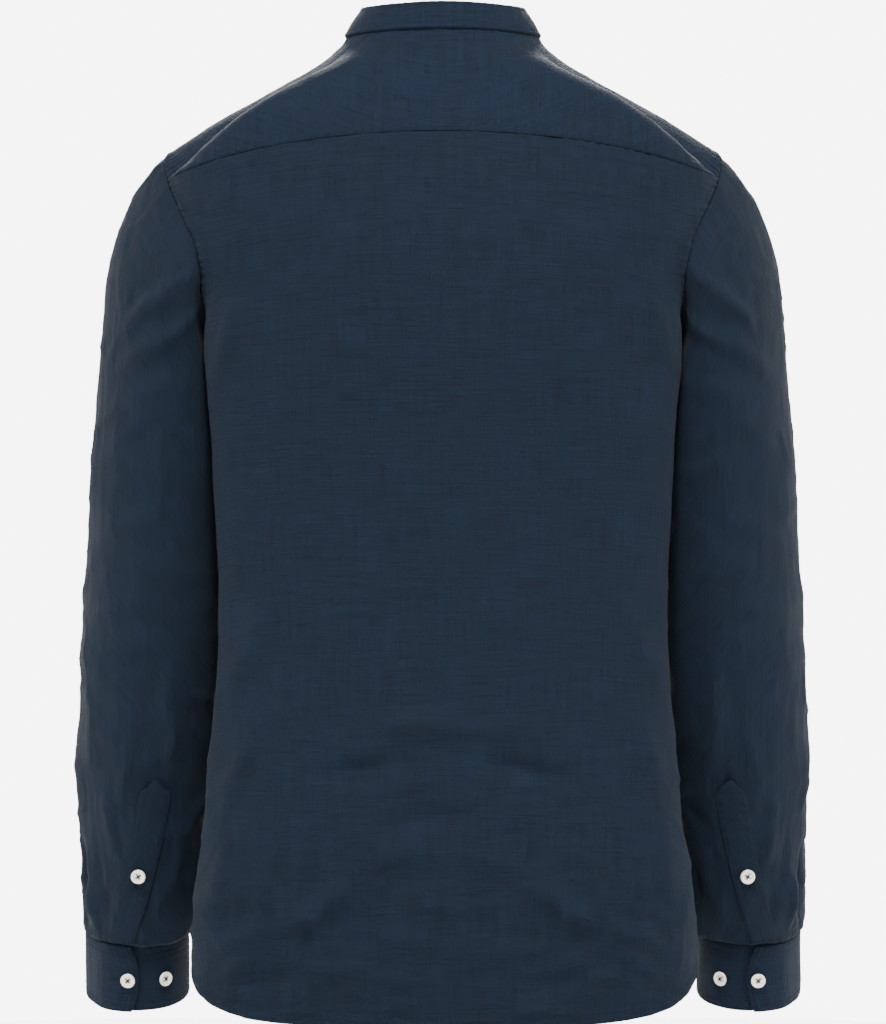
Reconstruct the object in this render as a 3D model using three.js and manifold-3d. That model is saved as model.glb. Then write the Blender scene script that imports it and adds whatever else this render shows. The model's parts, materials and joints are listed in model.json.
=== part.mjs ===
// Mandarin collar shirt, filled out, sleeves hanging. Millimetres, +Z up, back of the shirt towards +Y.
// The origin is the middle of the neck opening, level with the neck points.
import * as THREE from 'three';
import * as BufferGeometryUtils from 'three/addons/utils/BufferGeometryUtils.js';
import Module from 'manifold-3d';

// Cloth and seams
const CLOTH = 1.4;
const DOUBLE_CLOTH = 2.2;
const SEAM_TRIM = 0.2;
const LAP_GAP = 0.45;

// Grid steps of the panels
const STEPS = { halfBack: 11, front: 9, cape: 5, armhole: 7, side: 13, shoulder: 6, tube: 10, cap: 4,
  band: 30, cuff: 26, tower: 7 };

// Torso form: half width at the widest place, back, front, the place of the widest,
// and how far the sleeve presses the side in
const TORSO = [
  { level: -900, half: 196, back: 109, front: -124, widest: 50, press: 0 },
  { level: -758, half: 195, back: 109, front: -124, widest: 50, press: 0 },
  { level: -700, half: 194.5, back: 107, front: -123, widest: 50, press: 0 },
  { level: -650, half: 191.5, back: 105, front: -121, widest: 50, press: 0 },
  { level: -600, half: 185, back: 103, front: -119, widest: 50, press: 0 },
  { level: -540, half: 180, back: 100, front: -117, widest: 50, press: 0 },
  { level: -490, half: 175, back: 98, front: -117, widest: 50, press: 0 },
  { level: -420, half: 174, back: 98, front: -119, widest: 50, press: 2 },
  { level: -350, half: 178, back: 101, front: -123, widest: 52, press: 10 },
  { level: -300, half: 181, back: 105, front: -127, widest: 54, press: 18 },
  { level: -232, half: 186, back: 112, front: -128, widest: 55, press: 22 },
  { level: -160, half: 196, back: 112, front: -120, widest: 48, press: 8 },
  { level: -104, half: 215, back: 104, front: -98, widest: 20, press: 0 },
  { level: -60, half: 215, back: 92, front: -76, widest: 8, press: 0 },
];
const PRESS_MIDDLE = -8;
const PRESS_REACH = 42;
const BACK_FULLNESS = 2.5;
const FRONT_FULLNESS = 2.15;

// Armhole seam on the wearer's left, from the shoulder tip round the back, under the arm and up the front
const ARMHOLE = [
  { x: 216.5, y: 0, z: -87 },
  { x: 213, y: 36, z: -105 },
  { x: 204, y: 58, z: -128 },
  { x: 193, y: 73, z: -151 },
  { x: 187, y: 76, z: -176 },
  { x: 184.5, y: 61, z: -203 },
  { x: 173, y: 29, z: -223 },
  { x: 156, y: -8, z: -230 },
  { x: 160, y: -42, z: -215 },
  { x: 166, y: -62, z: -185 },
  { x: 179, y: -66, z: -150 },
  { x: 203, y: -38, z: -110 },
];
const BACK_JUNCTION = ARMHOLE[1];
const UNDERARM = ARMHOLE[7];
const FRONT_JUNCTION = ARMHOLE[11];

// Levels down the centre of the back and the front, and down the side seam
const YOKE_CENTRE = -70;
const CHEST_CENTRE = -124;
const UNDERARM_CENTRE = -236;
const HEM_CENTRE = -758;
const HEM_SIDE = -684;
const SIDE_SEAM_Y = -8;
const ROW_CURVE = { yoke: 1.6, chest: 1.5, underarm: 2, hem: 2.9 };

// Neck seam and the standing band
const NECK = { half: 75, back: 50, front: -62, middle: -6, backLevel: 10.7, sideLevel: 7, frontDrop: 36 };
const BAND_TOP = { half: 61.5, back: 41, front: -55, backLevel: 32.4, sideLevel: 29, frontDrop: 32 };
const YOKE_NECK_TURN = THREE.MathUtils.degToRad(60);
const FRONT_NECK_TURN = THREE.MathUtils.degToRad(113);
const SHOULDER_SLOPE = new THREE.Vector3(0.76, 0, -0.65).normalize();
const NECK_PULL = { back: 60, shoulder: 80, front: 55 };

// Front strip and the line where the two fronts meet under it
const STRIP_HALF = 16;
const FRONTS_MEET = 11;
const STRIP_TOP_TRIM = 0.9;

// Sleeve rings: outer edge, width, middle in depth, depth, rise of the outer side, forward lean
const SLEEVE = [
  { level: -232, outer: 264, width: 108, middle: -6, depth: 138, rise: 34, lean: 0 },
  { level: -300, outer: 270.5, width: 108, middle: -9, depth: 136, rise: 20, lean: 0.02 },
  { level: -360, outer: 275.5, width: 107, middle: -10, depth: 130, rise: 10, lean: 0.04 },
  { level: -431, outer: 280, width: 110, middle: -12, depth: 122, rise: 3, lean: 0.07 },
  { level: -498, outer: 283.5, width: 111, middle: -17, depth: 113, rise: 0, lean: 0.12 },
  { level: -572, outer: 285, width: 107, middle: -25, depth: 104, rise: 0, lean: 0.18 },
  { level: -640, outer: 283.5, width: 99, middle: -37, depth: 97, rise: 0, lean: 0.24 },
  { level: -681, outer: 281.8, width: 90, middle: -48, depth: 91, rise: 0, lean: 0.3 },
  { level: -687, outer: 278.3, width: 75.2, middle: -49.6, depth: 77, rise: 0, lean: 0.3 },
  { level: -694, outer: 278.3, width: 75.2, middle: -51.3, depth: 77, rise: 0, lean: 0.3 },
];
const SLEEVE_FULL_END = -681;
const SLEEVE_STRAIGHT_END = -640;
const SLEEVE_CLEARANCE = 4;
const SLEEVE_SHIFT = 0.5;
const CAP_TOP_ROWS = [0, 0.12];
const CAP_NEXT_ROW = 0.28;
const SLEEVE_LAST_STRAIGHT = -662;
const CUFF = {
  outer: 281.7, width: 82, depth: 84, top: -689, bottom: -741, middle: -50, lean: 0.3, drift: -13,
};
const CUFF_LAP = { end: 94, around: 388, over: 34, fade: 30, corner: 8 };
const COLLAR_LAP = { over: 192, under: -188, from: 158, fade: 26, corner: 8 };
const LAP_LIFT = 3.2;
const BAND_GAP = 0.6;
const BAND_BULGE = 1.2;

// Pointed placket on the back of the forearm: place round the sleeve in degrees, at its top and at the cuff
const TOWER = {
  top: -562, bottom: -686, topTurn: 98.5, bottomTurn: 72, bow: 3.5, topHalf: 12.5, bottomHalf: 10.5, point: 11,
};

// Buttons
const BUTTON = { radius: 5.7, thick: 2.6, dish: 0.5, hole: 0.85, holeSpread: 1.35, sides: 14 };
const BUTTON_ROUGHNESS = 0.4;
const FRONT_BUTTON_LEVELS = [-78, -168, -258, -348, -438, -528];
const COLLAR_BUTTON_ROW = 0.5;
const TOWER_BUTTON_ROW = 0.585;
const CUFF_BUTTONS = [
  { name: 'cuff_button', turn: 83, row: 0.51 },
  { name: 'cuff_inner_button', turn: -236.4, row: 0.55 },
];
const SLEEVE_MIDDLE_X = 240;

// Largest folds, as soft ridges: place and direction seen from behind, half length, half width and height
const BACK_FOLDS = [
  { x: 0, z: -528, angle: 0, long: 75, wide: 9, high: 2.4 },
  { x: 62, z: -560, angle: 8, long: 46, wide: 8, high: -2.2 },
  { x: -66, z: -562, angle: -8, long: 46, wide: 8, high: -2.2 },
  { x: 40, z: -628, angle: 24, long: 34, wide: 9, high: 2 },
  { x: -40, z: -629, angle: -24, long: 34, wide: 9, high: 2 },
  { x: 92, z: -664, angle: 32, long: 44, wide: 9, high: 2.6 },
  { x: -94, z: -665, angle: -32, long: 44, wide: 9, high: 2.6 },
  { x: 150, z: -688, angle: 14, long: 30, wide: 8, high: 2.4 },
  { x: -146, z: -690, angle: -14, long: 30, wide: 8, high: 2.4 },
];
const SLEEVE_FOLDS = [
  { turn: 78, level: -196, angle: -52, long: 34, wide: 8, high: 3.2 },
  { turn: 72, level: -238, angle: -30, long: 36, wide: 9, high: 3 },
  { turn: 108, level: -520, angle: 86, long: 60, wide: 7, high: 2.2 },
  { turn: 20, level: -650, angle: 86, long: 44, wide: 6, high: -3.4 },
  { turn: 40, level: -672, angle: 80, long: 22, wide: 5, high: 2.2 },
  { turn: 232, level: -250, angle: 24, long: 38, wide: 10, high: 3 },
  { turn: 268, level: -440, angle: 12, long: 40, wide: 10, high: 3 },
  { turn: 250, level: -480, angle: -14, long: 36, wide: 9, high: 2.6 },
  { turn: 205, level: -455, angle: -8, long: 34, wide: 9, high: 2.4 },
];

const COLOURS = {
  body: '#28364a', yoke: '#2b3a50', sleeve: '#263448', cuff: '#29384d', collar: '#2c3b51', button: '#b9b4aa',
};

const { sin, cos, abs, sign, acos, PI, min, max, pow, exp } = Math;
const degrees = THREE.MathUtils.degToRad;
const lerp = THREE.MathUtils.lerp;
const vec = (x, y, z) => new THREE.Vector3(x, y, z);
const signedPower = (value, power) => sign(value) * pow(abs(value), power);

// A row of a table at any level, smoothly between its rows, for tables that run up or down
function rowAt(table, level) {
  const rows = table[0].level < table[table.length - 1].level ? table : [...table].reverse();
  const last = rows.length - 1;
  const clamped = THREE.MathUtils.clamp(level, rows[0].level, rows[last].level);
  let i = 0;
  while (i < last - 1 && clamped > rows[i + 1].level) i += 1;
  const span = rows[i + 1].level - rows[i].level;
  const t = (clamped - rows[i].level) / span;
  const slope = (k, name) => {
    const a = max(k - 1, 0);
    const b = min(k + 1, last);
    return (rows[b][name] - rows[a][name]) / (rows[b].level - rows[a].level);
  };
  const result = {};
  for (const name of Object.keys(rows[0])) {
    const s0 = slope(i, name) * span;
    const s1 = slope(i + 1, name) * span;
    result[name] = hermite(rows[i][name], s0, rows[i + 1][name], s1, t);
  }
  return result;
}

function hermite(p0, t0, p1, t1, t) {
  const t2 = t * t;
  const t3 = t2 * t;
  return (2 * t3 - 3 * t2 + 1) * p0 + (t3 - 2 * t2 + t) * t0 + (3 * t2 - 2 * t3) * p1 + (t3 - t2) * t1;
}

function hermitePoint(p0, t0, p1, t1, t) {
  return vec(hermite(p0.x, t0.x, p1.x, t1.x, t), hermite(p0.y, t0.y, p1.y, t1.y, t),
    hermite(p0.z, t0.z, p1.z, t1.z, t));
}

const smooth = (t) => {
  const s = THREE.MathUtils.clamp(t, 0, 1);
  return s * s * (3 - 2 * s);
};

// Torso form
function pressAt(row, y) {
  return row.press * exp(-(((y - PRESS_MIDDLE) / PRESS_REACH) ** 2));
}

function torso(turn, level) {
  const row = rowAt(TORSO, level);
  const fore = cos(turn);
  const power = 2 / (fore > 0 ? BACK_FULLNESS : FRONT_FULLNESS);
  const depth = fore > 0 ? row.back - row.widest : row.widest - row.front;
  const y = row.widest + depth * signedPower(fore, power);
  const x = row.half * signedPower(sin(turn), power);
  return vec(x - sign(x) * min(abs(x), pressAt(row, y)), y, level);
}

function turnAt(y, level) {
  const row = rowAt(TORSO, level);
  const ahead = y - row.widest;
  const depth = ahead > 0 ? row.back - row.widest : row.widest - row.front;
  const power = (ahead > 0 ? BACK_FULLNESS : FRONT_FULLNESS) / 2;
  return acos(signedPower(THREE.MathUtils.clamp(ahead / depth, -1, 1), power));
}

function sideX(y, level) {
  return torso(turnAt(y, level), level).x;
}

// Armhole seam by its share of the way round
const armholePoints = ARMHOLE.map((p) => vec(p.x, p.y, p.z));
const armholeCurve = new THREE.CatmullRomCurve3(armholePoints, true, 'catmullrom', 0.5);
armholeCurve.arcLengthDivisions = 600;
const armhole = (share) => armholeCurve.getPointAt(((share % 1) + 1) % 1);
function shareOf(place) {
  const target = vec(place.x, place.y, place.z);
  let best = 0;
  for (let i = 0; i < 2000; i += 1) {
    if (armhole(i / 2000).distanceTo(target) < armhole(best).distanceTo(target)) best = i / 2000;
  }
  return best;
}
const SHARE = { back: shareOf(BACK_JUNCTION), under: shareOf(UNDERARM), front: shareOf(FRONT_JUNCTION) };

// Edge of the body panels: the armhole for v from 0 to 1, then the side seam down to v = 2
function edgePoint(v, fromShare) {
  if (v <= 1) return armhole(lerp(fromShare, SHARE.under, v));
  const level = lerp(UNDERARM.z, HEM_SIDE, v - 1);
  const x = sideX(SIDE_SEAM_Y, level);
  return vec(lerp(UNDERARM.x, x, smooth((v - 1) * 6)), SIDE_SEAM_Y, level);
}

// Share of the drop from the centre to the edge along a row
function rowDrop(part, v, top) {
  if (v > 1) return pow(part, lerp(ROW_CURVE.underarm, ROW_CURVE.hem, v - 1));
  return lerp(top(part), pow(part, ROW_CURVE.underarm), smooth(v * 1.6));
}
const yokeDrop = (part) => 1 - pow(max(1 - pow(part, ROW_CURVE.yoke), 0), ROW_CURVE.yoke);
const chestDrop = (part) => pow(part, ROW_CURVE.chest);
function centreLevel(v, top) {
  if (v <= 1) return lerp(top, UNDERARM_CENTRE, v);
  return lerp(UNDERARM_CENTRE, HEM_CENTRE, v - 1);
}

// Point of the back, u from 0 at the centre to 1 at the edge
function backPoint(u, v) {
  const edge = edgePoint(v, SHARE.back);
  const part = abs(u);
  const edgeTurn = turnAt(edge.y, edge.z);
  const level = lerp(centreLevel(v, YOKE_CENTRE), edge.z, rowDrop(part, v, yokeDrop));
  const point = torso(part * edgeTurn, level);
  point.x += (edge.x - torso(edgeTurn, edge.z).x) * part ** 3;
  point.x *= sign(u);
  return point;
}

// Point of the front below the chest line, u from 0 at the centre to 1 at the edge
function frontPoint(u, v) {
  const edge = edgePoint(v, SHARE.front);
  const part = max(u, 0);
  const edgeTurn = turnAt(edge.y, edge.z);
  const level = lerp(centreLevel(v, CHEST_CENTRE), edge.z, rowDrop(part, v, chestDrop));
  const point = torso(PI - u * (PI - edgeTurn), level);
  point.x += (edge.x - torso(edgeTurn, edge.z).x) * part ** 3;
  return point;
}

// Ring round the neck, by the turn from the centre back
function neckRing(ring, turn) {
  const fore = cos(turn);
  const reach = fore > 0 ? ring.back - NECK.middle : NECK.middle - ring.front;
  const level = fore > 0
    ? lerp(ring.sideLevel, ring.backLevel, fore * fore)
    : ring.sideLevel - ring.frontDrop * pow(-fore, 1.6);
  return vec(ring.half * sin(turn), NECK.middle + reach * fore, level);
}

// The cape from the neck seam outwards: c from 0 at the centre back, 1 at the back end of the shoulder,
// 2 at its front end, to 3 at the centre front; t from 0 at the neck to 1 at the outer edge
function capeNeckTurn(c) {
  if (c <= 1) return lerp(0, YOKE_NECK_TURN, c);
  if (c <= 2) return lerp(YOKE_NECK_TURN, FRONT_NECK_TURN, c - 1);
  return lerp(FRONT_NECK_TURN, PI, c - 2);
}

function capeOuter(c) {
  if (c <= 1) return backPoint(max(c, 1e-6), 0);
  if (c <= 2) return armhole(lerp(SHARE.back, SHARE.front - 1, c - 1));
  return frontPoint(3 - c, 0);
}

function capeOuterPull(c, chord) {
  let direction = SHOULDER_SLOPE.clone();
  if (c < 1) {
    const down = backPoint(max(c, 1e-6), 0.06).sub(backPoint(max(c, 1e-6), 0)).normalize();
    direction = down.lerp(SHOULDER_SLOPE, c ** 1.6).normalize();
  }
  if (c > 2) {
    const down = frontPoint(3 - c, 0.06).sub(frontPoint(3 - c, 0)).normalize();
    direction = down.lerp(SHOULDER_SLOPE, THREE.MathUtils.clamp(3 - c, 0, 1) ** 1.6).normalize();
  }
  return direction.multiplyScalar(chord);
}

function cape(c, t) {
  const neck = neckRing(NECK, capeNeckTurn(c));
  const outer = capeOuter(c);
  const away = vec(neck.x, neck.y - NECK.middle, 0).normalize().multiplyScalar(0.4);
  const pull = c <= 1.5
    ? lerp(NECK_PULL.back, NECK_PULL.shoulder, smooth(c / 1.5))
    : lerp(NECK_PULL.shoulder, NECK_PULL.front, smooth((c - 1.5) / 1.5));
  const start = away.add(vec(0, 0, -0.93)).multiplyScalar(pull);
  return hermitePoint(neck, start, outer, capeOuterPull(c, neck.distanceTo(outer)), t);
}

// Sleeve, by turn from the outer side through the back; v from 0 at the armhole, 1 at the first ring, to 2
function sleeveRing(turn, level) {
  const row = rowAt(SLEEVE, level);
  const across = row.width / 2;
  const deep = (row.depth / 2) * sin(turn);
  const z = level + row.rise * cos(turn) - row.lean * deep;
  return vec(row.outer - across + across * cos(turn), row.middle + deep, z);
}

function sleeveTurn(share) {
  return share <= SHARE.under
    ? PI * (share / SHARE.under)
    : PI + PI * ((share - SHARE.under) / (1 - SHARE.under));
}

function restOnTorso(point, start) {
  if (point.z > -150) return point;
  const row = rowAt(TORSO, point.z);
  if (point.y > row.back - 2 || point.y < row.front + 2) return point;
  const away = lerp(0.6, SLEEVE_CLEARANCE, smooth((start.z - point.z) / 16));
  const rest = sideX(point.y, point.z) + away;
  const over = (point.x - rest) / 2;
  const soft = over > 12 ? over : Math.log(1 + exp(over));
  point.x = lerp(point.x, rest + soft * 2, smooth((start.z - point.z) / 8));
  return point;
}

const SLEEVE_TOP = SLEEVE[0].level;
const SLEEVE_END = SLEEVE[SLEEVE.length - 1].level;
function sleevePoint(share, v) {
  const turn = sleeveTurn(share);
  const start = armhole(share);
  if (v >= 1) return restOnTorso(sleeveRing(turn, lerp(SLEEVE_TOP, SLEEVE_END, v - 1)), start);
  const end = sleeveRing(turn, SLEEVE_TOP);
  const height = (start.z - UNDERARM.z) / (ARMHOLE[0].z - UNDERARM.z);
  const leave = vec(0.12 + 0.62 * height, 0.12 * sin(turn), -1 + 0.33 * height).normalize();
  const arrive = sleeveRing(turn, SLEEVE_TOP - 12).sub(end).normalize();
  const chord = start.distanceTo(end);
  leave.multiplyScalar(chord);
  arrive.multiplyScalar(chord);
  return restOnTorso(hermitePoint(start, leave, end, arrive, v), start);
}

// Steps from a to b
const steps = (a, b, count) => Array.from({ length: count + 1 }, (_, i) => lerp(a, b, i / count));

// A grid of points with a normal at each: rows of columns, closed round where the piece is a tube
function gridOf(columns, rows, place, options = {}) {
  const points = rows.map((v) => columns.map((u) => place(u, v)));
  const grid = { points, around: Boolean(options.around), flip: options.flip ? -1 : 1 };
  if (options.folds) applyFolds(grid, columns, rows, options.folds);
  grid.normals = normalsOf(grid);
  return grid;
}

function normalsOf({ points, around, flip }) {
  const last = points.length - 1;
  const width = points[0].length;
  return points.map((row, j) => row.map((_, i) => {
    const left = around ? row[(i - 1 + width) % width] : row[max(i - 1, 0)];
    const right = around ? row[(i + 1) % width] : row[min(i + 1, width - 1)];
    const along = right.clone().sub(left);
    const down = points[min(j + 1, last)][i].clone().sub(points[max(j - 1, 0)][i]);
    return down.cross(along).normalize().multiplyScalar(flip);
  }));
}

function foldHeight(across, along, fold) {
  const reach = THREE.MathUtils.clamp(1 - (along / fold.long) ** 2, 0, 1);
  return fold.high * reach * reach * exp(-((across / fold.wide) ** 2));
}

function applyFolds(grid, columns, rows, folds) {
  const normals = normalsOf(grid);
  grid.points.forEach((row, j) => row.forEach((point, i) => {
    if (j === 0 || j === rows.length - 1) return;
    point.addScaledVector(normals[j][i], folds(point, columns[i], rows[j]));
  }));
}

function backFolds(point) {
  let height = 0;
  for (const fold of BACK_FOLDS) {
    const tilt = degrees(fold.angle);
    const dx = point.x - fold.x;
    const dz = point.z - fold.z;
    const along = dx * cos(tilt) - dz * sin(tilt);
    const across = dx * sin(tilt) + dz * cos(tilt);
    height += foldHeight(across, along, fold);
  }
  return height;
}

function sleeveFolds(point, share) {
  let height = 0;
  const turn = THREE.MathUtils.radToDeg(sleeveTurn(share));
  for (const fold of SLEEVE_FOLDS) {
    const tilt = degrees(fold.angle);
    const around = (((turn - fold.turn + 540) % 360) - 180) * degrees(55);
    const dz = point.z - fold.level;
    height += foldHeight(around * sin(tilt) + dz * cos(tilt), around * cos(tilt) - dz * sin(tilt), fold);
  }
  return height;
}

// Where pieces meet, they share the mean of the normals that face the same way, so that their edges match
function shareSeamNormals(grids) {
  const meetings = new Map();
  for (const grid of grids) {
    const last = grid.points.length - 1;
    grid.points.forEach((row, j) => row.forEach((point, i) => {
      const onEdge = j === 0 || j === last || (!grid.around && (i === 0 || i === row.length - 1));
      if (!onEdge) return;
      const key = [point.x, point.y, point.z].map((n) => Math.round(n * 5)).join(' ');
      if (!meetings.has(key)) meetings.set(key, []);
      meetings.get(key).push({ grid, i, j, normal: grid.normals[j][i].clone() });
    }));
  }
  for (const group of meetings.values()) {
    for (const one of group) {
      const mean = vec(0, 0, 0);
      group.filter((other) => other.normal.dot(one.normal) > 0).forEach((other) => mean.add(other.normal));
      mean.normalize();
      one.grid.normals[one.j][one.i] = mean.multiplyScalar(1 / max(mean.dot(one.normal), 0.75));
    }
  }
}

// The closed wall of a grid: the outer points, the same moved in by the cloth, and the rims between them
function wall(grid, thick, trim = {}, lift = 0) {
  const { points, normals, around, flip } = grid;
  const rows = points.length;
  const width = points[0].length;
  const moved = points.map((row) => row.map((p) => p.clone()));
  const pull = (j, i, toJ, toI, by) => {
    const step = points[toJ][toI].clone().sub(points[j][i]);
    moved[j][i].addScaledVector(step.normalize(), by);
  };
  for (let i = 0; i < width; i += 1) {
    if (trim.top) pull(0, i, 1, i, trim.top);
    if (trim.bottom) pull(rows - 1, i, rows - 2, i, trim.bottom);
  }
  for (let j = 0; j < rows; j += 1) {
    if (trim.left) pull(j, 0, j, 1, trim.left);
    if (trim.right) pull(j, width - 1, j, width - 2, trim.right);
  }
  const places = [];
  const outer = (j, i) => (j * width + (i % width));
  const inner = (j, i) => rows * width + outer(j, i);
  for (const side of [lift, lift - thick]) {
    moved.forEach((row, j) => row.forEach((p, i) => {
      const q = p.clone().addScaledVector(normals[j][i], side);
      places.push(q.x, q.y, q.z);
    }));
  }
  const faces = [];
  const quad = (a, b, c, d) => (flip > 0 ? faces.push(a, b, c, a, c, d) : faces.push(a, c, b, a, d, c));
  const spans = around ? width : width - 1;
  for (let j = 0; j < rows - 1; j += 1) {
    for (let i = 0; i < spans; i += 1) {
      quad(outer(j, i), outer(j + 1, i), outer(j + 1, i + 1), outer(j, i + 1));
      quad(inner(j, i), inner(j, i + 1), inner(j + 1, i + 1), inner(j + 1, i));
    }
  }
  for (let i = 0; i < spans; i += 1) {
    quad(outer(0, i), outer(0, i + 1), inner(0, i + 1), inner(0, i));
    quad(outer(rows - 1, i + 1), outer(rows - 1, i), inner(rows - 1, i), inner(rows - 1, i + 1));
  }
  if (!around) {
    for (let j = 0; j < rows - 1; j += 1) {
      quad(outer(j + 1, 0), outer(j, 0), inner(j, 0), inner(j + 1, 0));
      quad(outer(j, width - 1), outer(j + 1, width - 1), inner(j + 1, width - 1), inner(j, width - 1));
    }
  }
  const geometry = new THREE.BufferGeometry();
  geometry.setAttribute('position', new THREE.Float32BufferAttribute(places, 3));
  geometry.setIndex(faces);
  geometry.computeVertexNormals();
  return geometry;
}

// The same piece for the wearer's right
function mirrored(geometry) {
  const copy = geometry.clone();
  copy.scale(-1, 1, 1);
  const index = copy.getIndex();
  for (let i = 0; i < index.count; i += 3) {
    const b = index.getX(i + 1);
    index.setX(i + 1, index.getX(i + 2));
    index.setX(i + 2, b);
  }
  copy.computeVertexNormals();
  return copy;
}

const shirt = new THREE.Group();
function add(name, geometry, colour, roughness = 0.9) {
  const material = new THREE.MeshStandardMaterial({ color: colour, roughness, metalness: 0 });
  const mesh = new THREE.Mesh(geometry, material);
  mesh.name = name;
  shirt.add(mesh);
  return mesh;
}

// Body panels, sharing the points of their seams
const armRows = steps(0, 1, STEPS.armhole);
const bodyRows = [...armRows, ...steps(1, 2, STEPS.side).slice(1)];
// Point of the front at a given distance from the centre line, v from -1 at the neck to 2 at the hem
const frontPlace = (u, v) => (v < 0 ? cape(3 - u, v + 1) : frontPoint(u, v));
function partAcross(x, v) {
  let low = -0.4;
  let high = 0.6;
  for (let i = 0; i < 26; i += 1) {
    const middle = (low + high) / 2;
    if (frontPlace(middle, v).x < x) low = middle;
    else high = middle;
  }
  return (low + high) / 2;
}

const frontRows = [...steps(-1, 0, STEPS.cape), ...bodyRows.slice(1)];
function frontGrid(meetX) {
  const meets = new Map(frontRows.map((v) => [v, partAcross(meetX, v)]));
  return gridOf(steps(0, 1, STEPS.front), frontRows, (w, v) => frontPlace(lerp(meets.get(v), 1, w), v));
}

const backGrid = gridOf(steps(-1, 1, 2 * STEPS.halfBack), bodyRows,
  (u, v) => backPoint(abs(u) < 1e-9 ? 1e-6 : u, v), { flip: true, folds: backFolds });
const yokeHalf = [...steps(0, 1, STEPS.halfBack), ...steps(1, 2, STEPS.shoulder).slice(1)];
const yokeColumns = [...yokeHalf.slice(1).map((c) => -c).reverse(), ...yokeHalf];
const yokePlace = (c, t) => {
  const point = cape(abs(c), t);
  if (c < 0) point.x = -point.x;
  return point;
};
const yokeGrid = gridOf(yokeColumns, steps(0, 1, STEPS.cape), yokePlace, { flip: true });
const leftFrontGrid = frontGrid(FRONTS_MEET);
const rightFrontGrid = frontGrid(-FRONTS_MEET);

const backShares = armRows.map((v) => lerp(SHARE.back, SHARE.under, v));
const frontShares = armRows.map((v) => lerp(SHARE.front, SHARE.under, v)).reverse();
const topShares = steps(0, 1, STEPS.shoulder).map((c) => lerp(SHARE.back, SHARE.front - 1, c)).reverse();
const sleeveShares = [...topShares.slice(1).map((s) => (s < 0 ? s + 1 : s))
  .filter((s) => s > SHARE.front), ...topShares.filter((s) => s >= 0), ...backShares.slice(1),
...frontShares.slice(1)];
const tubeShare = (level) => 1 + (level - SLEEVE_TOP) / (SLEEVE_END - SLEEVE_TOP);
const capRows = [...CAP_TOP_ROWS, ...steps(CAP_NEXT_ROW, 1, STEPS.cap)];
const tubeRows = steps(1, tubeShare(SLEEVE_STRAIGHT_END), STEPS.tube).slice(1);
const endRows = [SLEEVE_LAST_STRAIGHT, ...SLEEVE.slice(-3).map((row) => row.level)].map(tubeShare);
const sleeveRows = [...capRows, ...tubeRows, ...endRows];
const sleeveGrid = gridOf(sleeveShares, sleeveRows, sleevePoint, { around: true, folds: sleeveFolds });

shareSeamNormals([backGrid, yokeGrid, leftFrontGrid, sleeveGrid]);
rightFrontGrid.normals.forEach((row, j) => row.forEach((_, i) => {
  const onEdge = i === row.length - 1 || j === 0 || j === rightFrontGrid.points.length - 1;
  if (onEdge) row[i] = leftFrontGrid.normals[j][i].clone();
}));
for (const row of backGrid.normals) {
  const n = row[row.length - 1];
  row[0] = vec(-n.x, n.y, n.z);
}
yokeGrid.normals.forEach((row) => row.slice(0, yokeHalf.length - 1).forEach((_, i) => {
  const n = row[row.length - 1 - i];
  row[i] = vec(-n.x, n.y, n.z);
}));

add('back_panel', wall(backGrid, CLOTH, { top: SEAM_TRIM, left: SEAM_TRIM, right: SEAM_TRIM }), COLOURS.body);
const yokeTrim = { bottom: SEAM_TRIM, left: SEAM_TRIM, right: SEAM_TRIM, top: SEAM_TRIM };
add('back_yoke', wall(yokeGrid, CLOTH, yokeTrim), COLOURS.yoke);
const frontTrim = { right: SEAM_TRIM, left: SEAM_TRIM, top: SEAM_TRIM };
add('front_left', wall(leftFrontGrid, CLOTH, frontTrim), COLOURS.body);
add('front_right', mirrored(wall(rightFrontGrid, CLOTH, frontTrim)), COLOURS.body);

function addPair(name, geometry, colour, roughness) {
  add(`${name}_left`, geometry, colour, roughness);
  add(`${name}_right`, mirrored(geometry), colour, roughness);
}

const sleeveWall = wall(sleeveGrid, CLOTH);
sleeveWall.translate(SLEEVE_SHIFT, 0, 0);
addPair('sleeve', sleeveWall, COLOURS.sleeve);

// Front strip, made from the points of the fronts and moved out
const stripGrid = gridOf(steps(-STRIP_HALF, STRIP_HALF, 3), frontRows,
  (x, v) => frontPlace(partAcross(x, v), v));
add('front_placket', wall(stripGrid, CLOTH, { top: STRIP_TOP_TRIM }, CLOTH + LAP_GAP), COLOURS.body);

// Standing band, its left end lapped over its right
const lapRise = (turn, from, fade) => LAP_LIFT * smooth((turn - from + fade) / fade);
function bandPoint(turn, v) {
  const end = turn > 0 ? COLLAR_LAP.over : -COLLAR_LAP.under;
  const corner = max(0, (abs(turn) - end + COLLAR_LAP.corner) / COLLAR_LAP.corner) ** 2;
  const low = neckRing(NECK, degrees(turn));
  low.z += BAND_GAP;
  const point = low.lerp(neckRing(BAND_TOP, degrees(turn)), v * (1 - 0.3 * corner));
  const away = vec(point.x, point.y - NECK.middle, 0).normalize();
  const out = lapRise(turn, COLLAR_LAP.from, COLLAR_LAP.fade) + BAND_BULGE * sin(PI * v);
  return point.addScaledVector(away, out);
}
const bandTurns = steps(COLLAR_LAP.under, COLLAR_LAP.over, STEPS.band);
const bandGrid = gridOf(bandTurns, steps(1, 0, 3), bandPoint, { flip: true });
add('collar_band', wall(bandGrid, DOUBLE_CLOTH), COLOURS.collar);

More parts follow.
